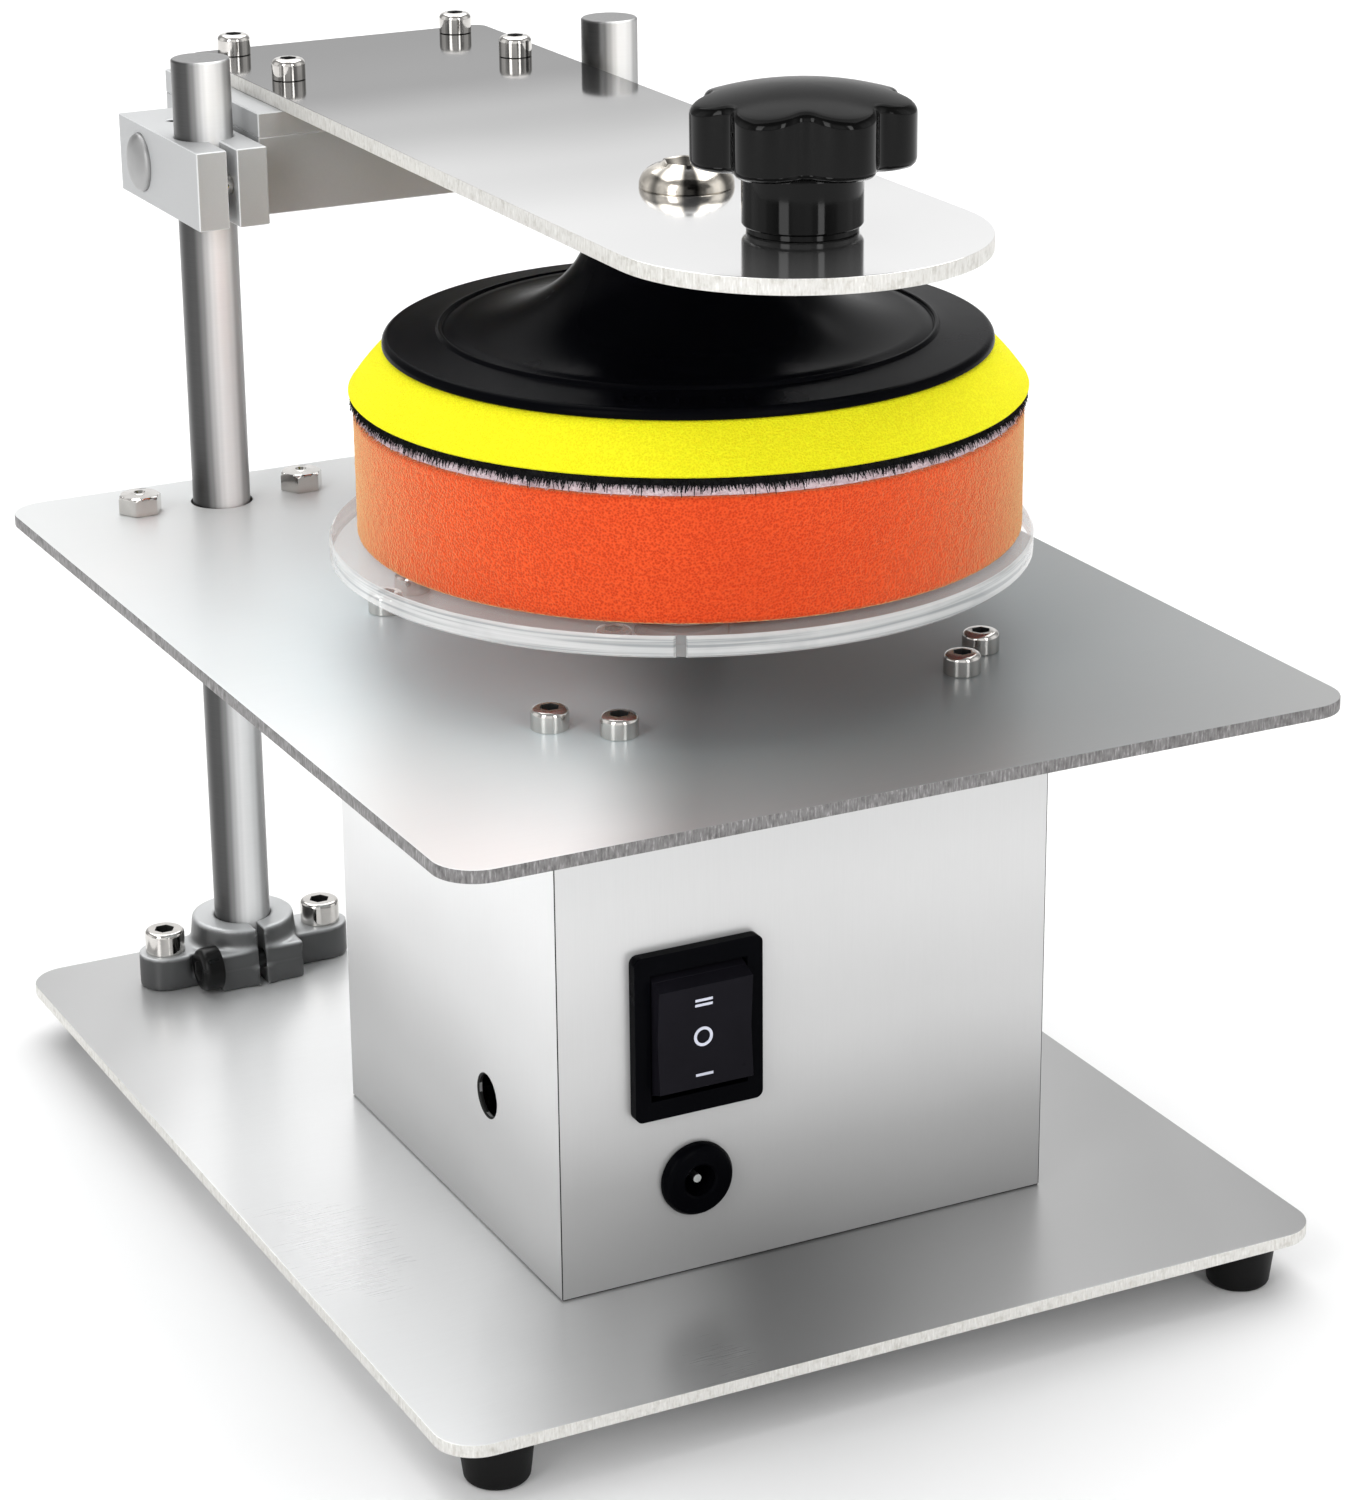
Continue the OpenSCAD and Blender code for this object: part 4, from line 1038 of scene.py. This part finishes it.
def side_rings(low_r, high_r, height, rows, bulge=0.0, edge=0.6 * MM):
    """Rings of a foam slab's side with softened edges."""
    rings = [(0, 0), (low_r * 0.5, 0), (low_r - edge * 2, 0), (low_r - edge * 0.4, edge * 0.15)]
    for i in range(rows + 1):
        share = i / rows
        z = edge * 0.6 + (height - edge * 1.2) * share
        rings.append((low_r + (high_r - low_r) * share + bulge * math.sin(math.pi * share), z))
    rings += [(high_r - edge * 0.4, height - edge * 0.15), (high_r - edge * 2, height)]
    return rings + [(high_r * 0.5, height), (0, height)]


def make_sponge():
    node = "sponge"
    low, high, centre = extent(node)
    r = (high.x - low.x) / 2
    bm = bmesh.new()
    rings = side_rings(r - 0.15 * MM, r - 0.15 * MM, high.z - low.z, 44, 0.0, 0.8 * MM)
    rough_ring(bm, rings, 720, upright(centre, low.z), 0.22 * MM, 900, 1)
    piece = stand(node, "sponge_cut", bm, smooth=70, weighted=False)


def make_pad_foam():
    node = "pad_foam"
    low, high, centre = extent(node)
    r = (high.x - low.x) / 2
    bm = bmesh.new()
    rings = side_rings(r - 0.4 * MM, 56.4 * MM, high.z - low.z, 20, 0.35 * MM, 0.7 * MM)
    rough_ring(bm, rings, 480, upright(centre, low.z), 0.06 * MM, 500, 2)
    piece = stand(node, "pad_foam_cut", bm, smooth=70, weighted=False)


def tuft(bm, root, out, length, width, curl, sides=3):
    """One short bent fibre: a thin tapered tube from root."""
    side = out.cross(UP).normalized()
    previous = None
    steps = 3
    for i in range(steps + 1):
        share = i / steps
        at = root + out * length * share + (UP * curl[0] + side * curl[1]) * length * share * share
        thick = width * (1 - 0.5 * share)
        loop = [bm.verts.new(at + (UP * math.cos(a) + side * math.sin(a)) * thick)
                for a in (2 * math.pi * k / sides for k in range(sides))]
        if previous:
            for k in range(sides):
                bm.faces.new((previous[k], previous[(k + 1) % sides], loop[(k + 1) % sides], loop[k]))
        previous = loop
    bm.faces.new(previous)


def fringe(bm, centre, r, low_z, high_z, count, length, width, droop):
    """A band of short fibres standing out from a rim and hanging by up to droop."""
    for _ in range(count):
        angle = random.uniform(0, 2 * math.pi)
        out = Vector((math.cos(angle), math.sin(angle), 0))
        root = Vector((centre.x, centre.y, random.uniform(low_z, high_z))) + out * (r - 0.35 * MM)
        curl = (random.uniform(-droop, 0.5), random.uniform(-0.8, 0.8))
        tuft(bm, root, out, random.uniform(0.5, 1.0) * length, width, curl)


def make_fabric_layers():
    for node, count, length, width, inset, scale, droop in (
            ("hook_layer", 5200, 0.95 * MM, 0.16 * MM, 0.55 * MM, 420, 2.4),
            ("loop_layer", 3600, 0.8 * MM, 0.1 * MM, 0.75 * MM, 500, 0.5)):
        low, high, centre = extent(node)
        r = (high.x - low.x) / 2
        bm = bmesh.new()
        rings = side_rings(r - inset, r - inset, high.z - low.z, 4, 0.1 * MM, 0.3 * MM)
        rough_ring(bm, rings, 600, upright(centre, low.z), 0.5 * MM, scale, 3)
        fringe(bm, centre, r - inset, low.z + 0.25 * MM, high.z - 0.25 * MM, count, length, width, droop)
        piece = stand(node, node + "_pile", bm, smooth=60, weighted=False)


def make_backing_pad():
    """Moulded disc: bevelled rim, thin raised ring and a neck that flares from the disc."""
    node = "backing_pad"
    low, high, centre = extent(node)
    rim = (high.x - low.x) / 2
    height = high.z - low.z
    flare_r, flare_z, neck_r = 44 * MM, 3.5 * MM, 18 * MM
    rings = [(12 * MM, 0), (rim - 0.3 * MM, 0), (rim, 0.25 * MM)]
    rings += arc(rim - 1.5 * MM, 0.5 * MM, 1.5 * MM, 0, 78, 7)
    rings += [(flare_r + 5 * MM, flare_z - 1.15 * MM), (flare_r + 2.6 * MM, flare_z - 0.75 * MM)]
    rings += arc(flare_r + 1.9 * MM, flare_z - 0.45 * MM, 0.42 * MM, 0, 180, 6)
    rings += [(flare_r + 1.3 * MM, flare_z - 0.6 * MM)]
    steps = 28
    for i in range(steps + 1):
        t = math.radians(90 - 90 * i / steps)
        rings.append((flare_r - (flare_r - neck_r) * math.cos(t), height - (height - flare_z) * math.sin(t)))
    rings += [(neck_r - 0.4 * MM, height), (10 * MM, height), (10 * MM, 9 * MM), (12 * MM, 9 * MM)]
    bm = bmesh.new()
    turn(bm, rings, 256, upright(centre, low.z), closed=True)
    stand(node, "backing_pad_moulded", bm)
    make_pad_ticks(centre, low.z + 2.35 * MM)


def make_pad_ticks(centre, z):
    """A short row of plain raised ticks on the disc, near its rim."""
    bm = bmesh.new()
    for i in range(13):
        if i in (4, 8):
            continue
        turned_by = Matrix.Rotation(math.radians(230 + 2.2 * i), 4, "Z")
        size = (random.uniform(1.2, 2.2) * MM, random.uniform(0.35, 0.9) * MM, 0.7 * MM)
        add_bar(bm, (51 * MM, 0, 0), size, upright(centre, z) @ turned_by)
    mesh = to_mesh("pad_ticks", bm)
    mesh.materials.append(SLOTS["black_moulding"])
    add_piece("pad_ticks", mesh, "pad")


# ---- switch and socket -------------------------------------------------------

def add_bar(bm, centre, size, place):
    made = bmesh.ops.create_cube(bm, size=1)
    for vert in made["verts"]:
        vert.co = place @ (Vector(centre) + Vector([a * b for a, b in zip(vert.co, size)]))


def make_switch():
    skin("switch_case", 0.3 * MM, 3, 35)
    skin("switch_rocker", 0.3 * MM, 3, 30, material=SWITCH_PLASTIC)
    low, _, centre = extent("switch_rocker")
    face_y = low.y
    bm = bmesh.new()
    tilt = math.atan(0.08)
    mark_x = centre.x - 0.4 * MM
    mark_z = centre.z - 0.3 * MM
    lean = lambda up: Matrix.Translation((mark_x, face_y + 0.78 * MM - abs(up) * 0.08, mark_z + up)) \
        @ Matrix.Rotation(math.copysign(tilt, up) if up else 0, 4, "X")
    for up, rows in ((6.9 * MM, (0.5 * MM, -0.5 * MM)), (-7.3 * MM, (0,))):
        for row in rows:
            add_bar(bm, (0, 0, row), (3.5 * MM, 0.12 * MM, 0.5 * MM), lean(up))
    turn(bm, [(1.35 * MM, 0), (1.9 * MM, 0), (1.9 * MM, 0.12 * MM), (1.35 * MM, 0.12 * MM)], 40,
         facing((mark_x, face_y + 0.62 * MM, mark_z), (0, -1, 0)), closed=True)
    mesh = to_mesh("switch_marks", bm)
    mesh.materials.append(PRINT_WHITE)
    add_piece("switch_marks", mesh, "rocker")


def make_socket():
    node = "power_socket"
    low, high, centre = extent(node)
    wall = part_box("box_wrap")[0].y
    flange_r = (high.x - low.x) / 2
    out = wall - low.y
    rings = [(0, -(high.y - wall)), (5.5 * MM, -(high.y - wall)), (5.5 * MM, 0), (flange_r - 0.2 * MM, 0),
             (flange_r, 0.25 * MM), (flange_r, out * 0.45)]
    rings += arc(flange_r - 1.5 * MM, out - 1.3 * MM, 1.3 * MM, 20, 85, 6)
    rings += [(3.5 * MM, out), (3.1 * MM, out - 0.35 * MM), (3.0 * MM, out - 0.8 * MM),
              (3.0 * MM, out - 9.5 * MM), (0, out - 9.5 * MM)]
    bm = bmesh.new()
    turn(bm, rings, 96, facing((centre.x, wall, centre.z), (0, -1, 0)))
    stand(node, "power_socket_moulded", bm)


# ---- everything --------------------------------------------------------------

make_camera()
make_world()
make_softbox("overhead", (0.5, 1.0, 2.3), (0.3, 0.6, 0), (3.2, 3.2), 84)
make_softbox("side", (-1.3, -0.7, 0.8), (0, 0, 0.15), (0.5, 1.2), 8)
make_softbox("front", (0.2, -1.7, 0.75), (0, 0, 0.12), (0.35, 1.3), 7)
make_floor()
paint_cad_nodes()
make_fasteners()
make_plates()
make_columns()
make_supports()
make_hinge_shaft()
make_feet()
make_knob()
make_pivot()
make_disc()
make_sponge()
make_pad_foam()
make_fabric_layers()
make_backing_pad()
make_switch()
make_socket()
bpy.context.scene.view_settings.view_transform = "Standard"
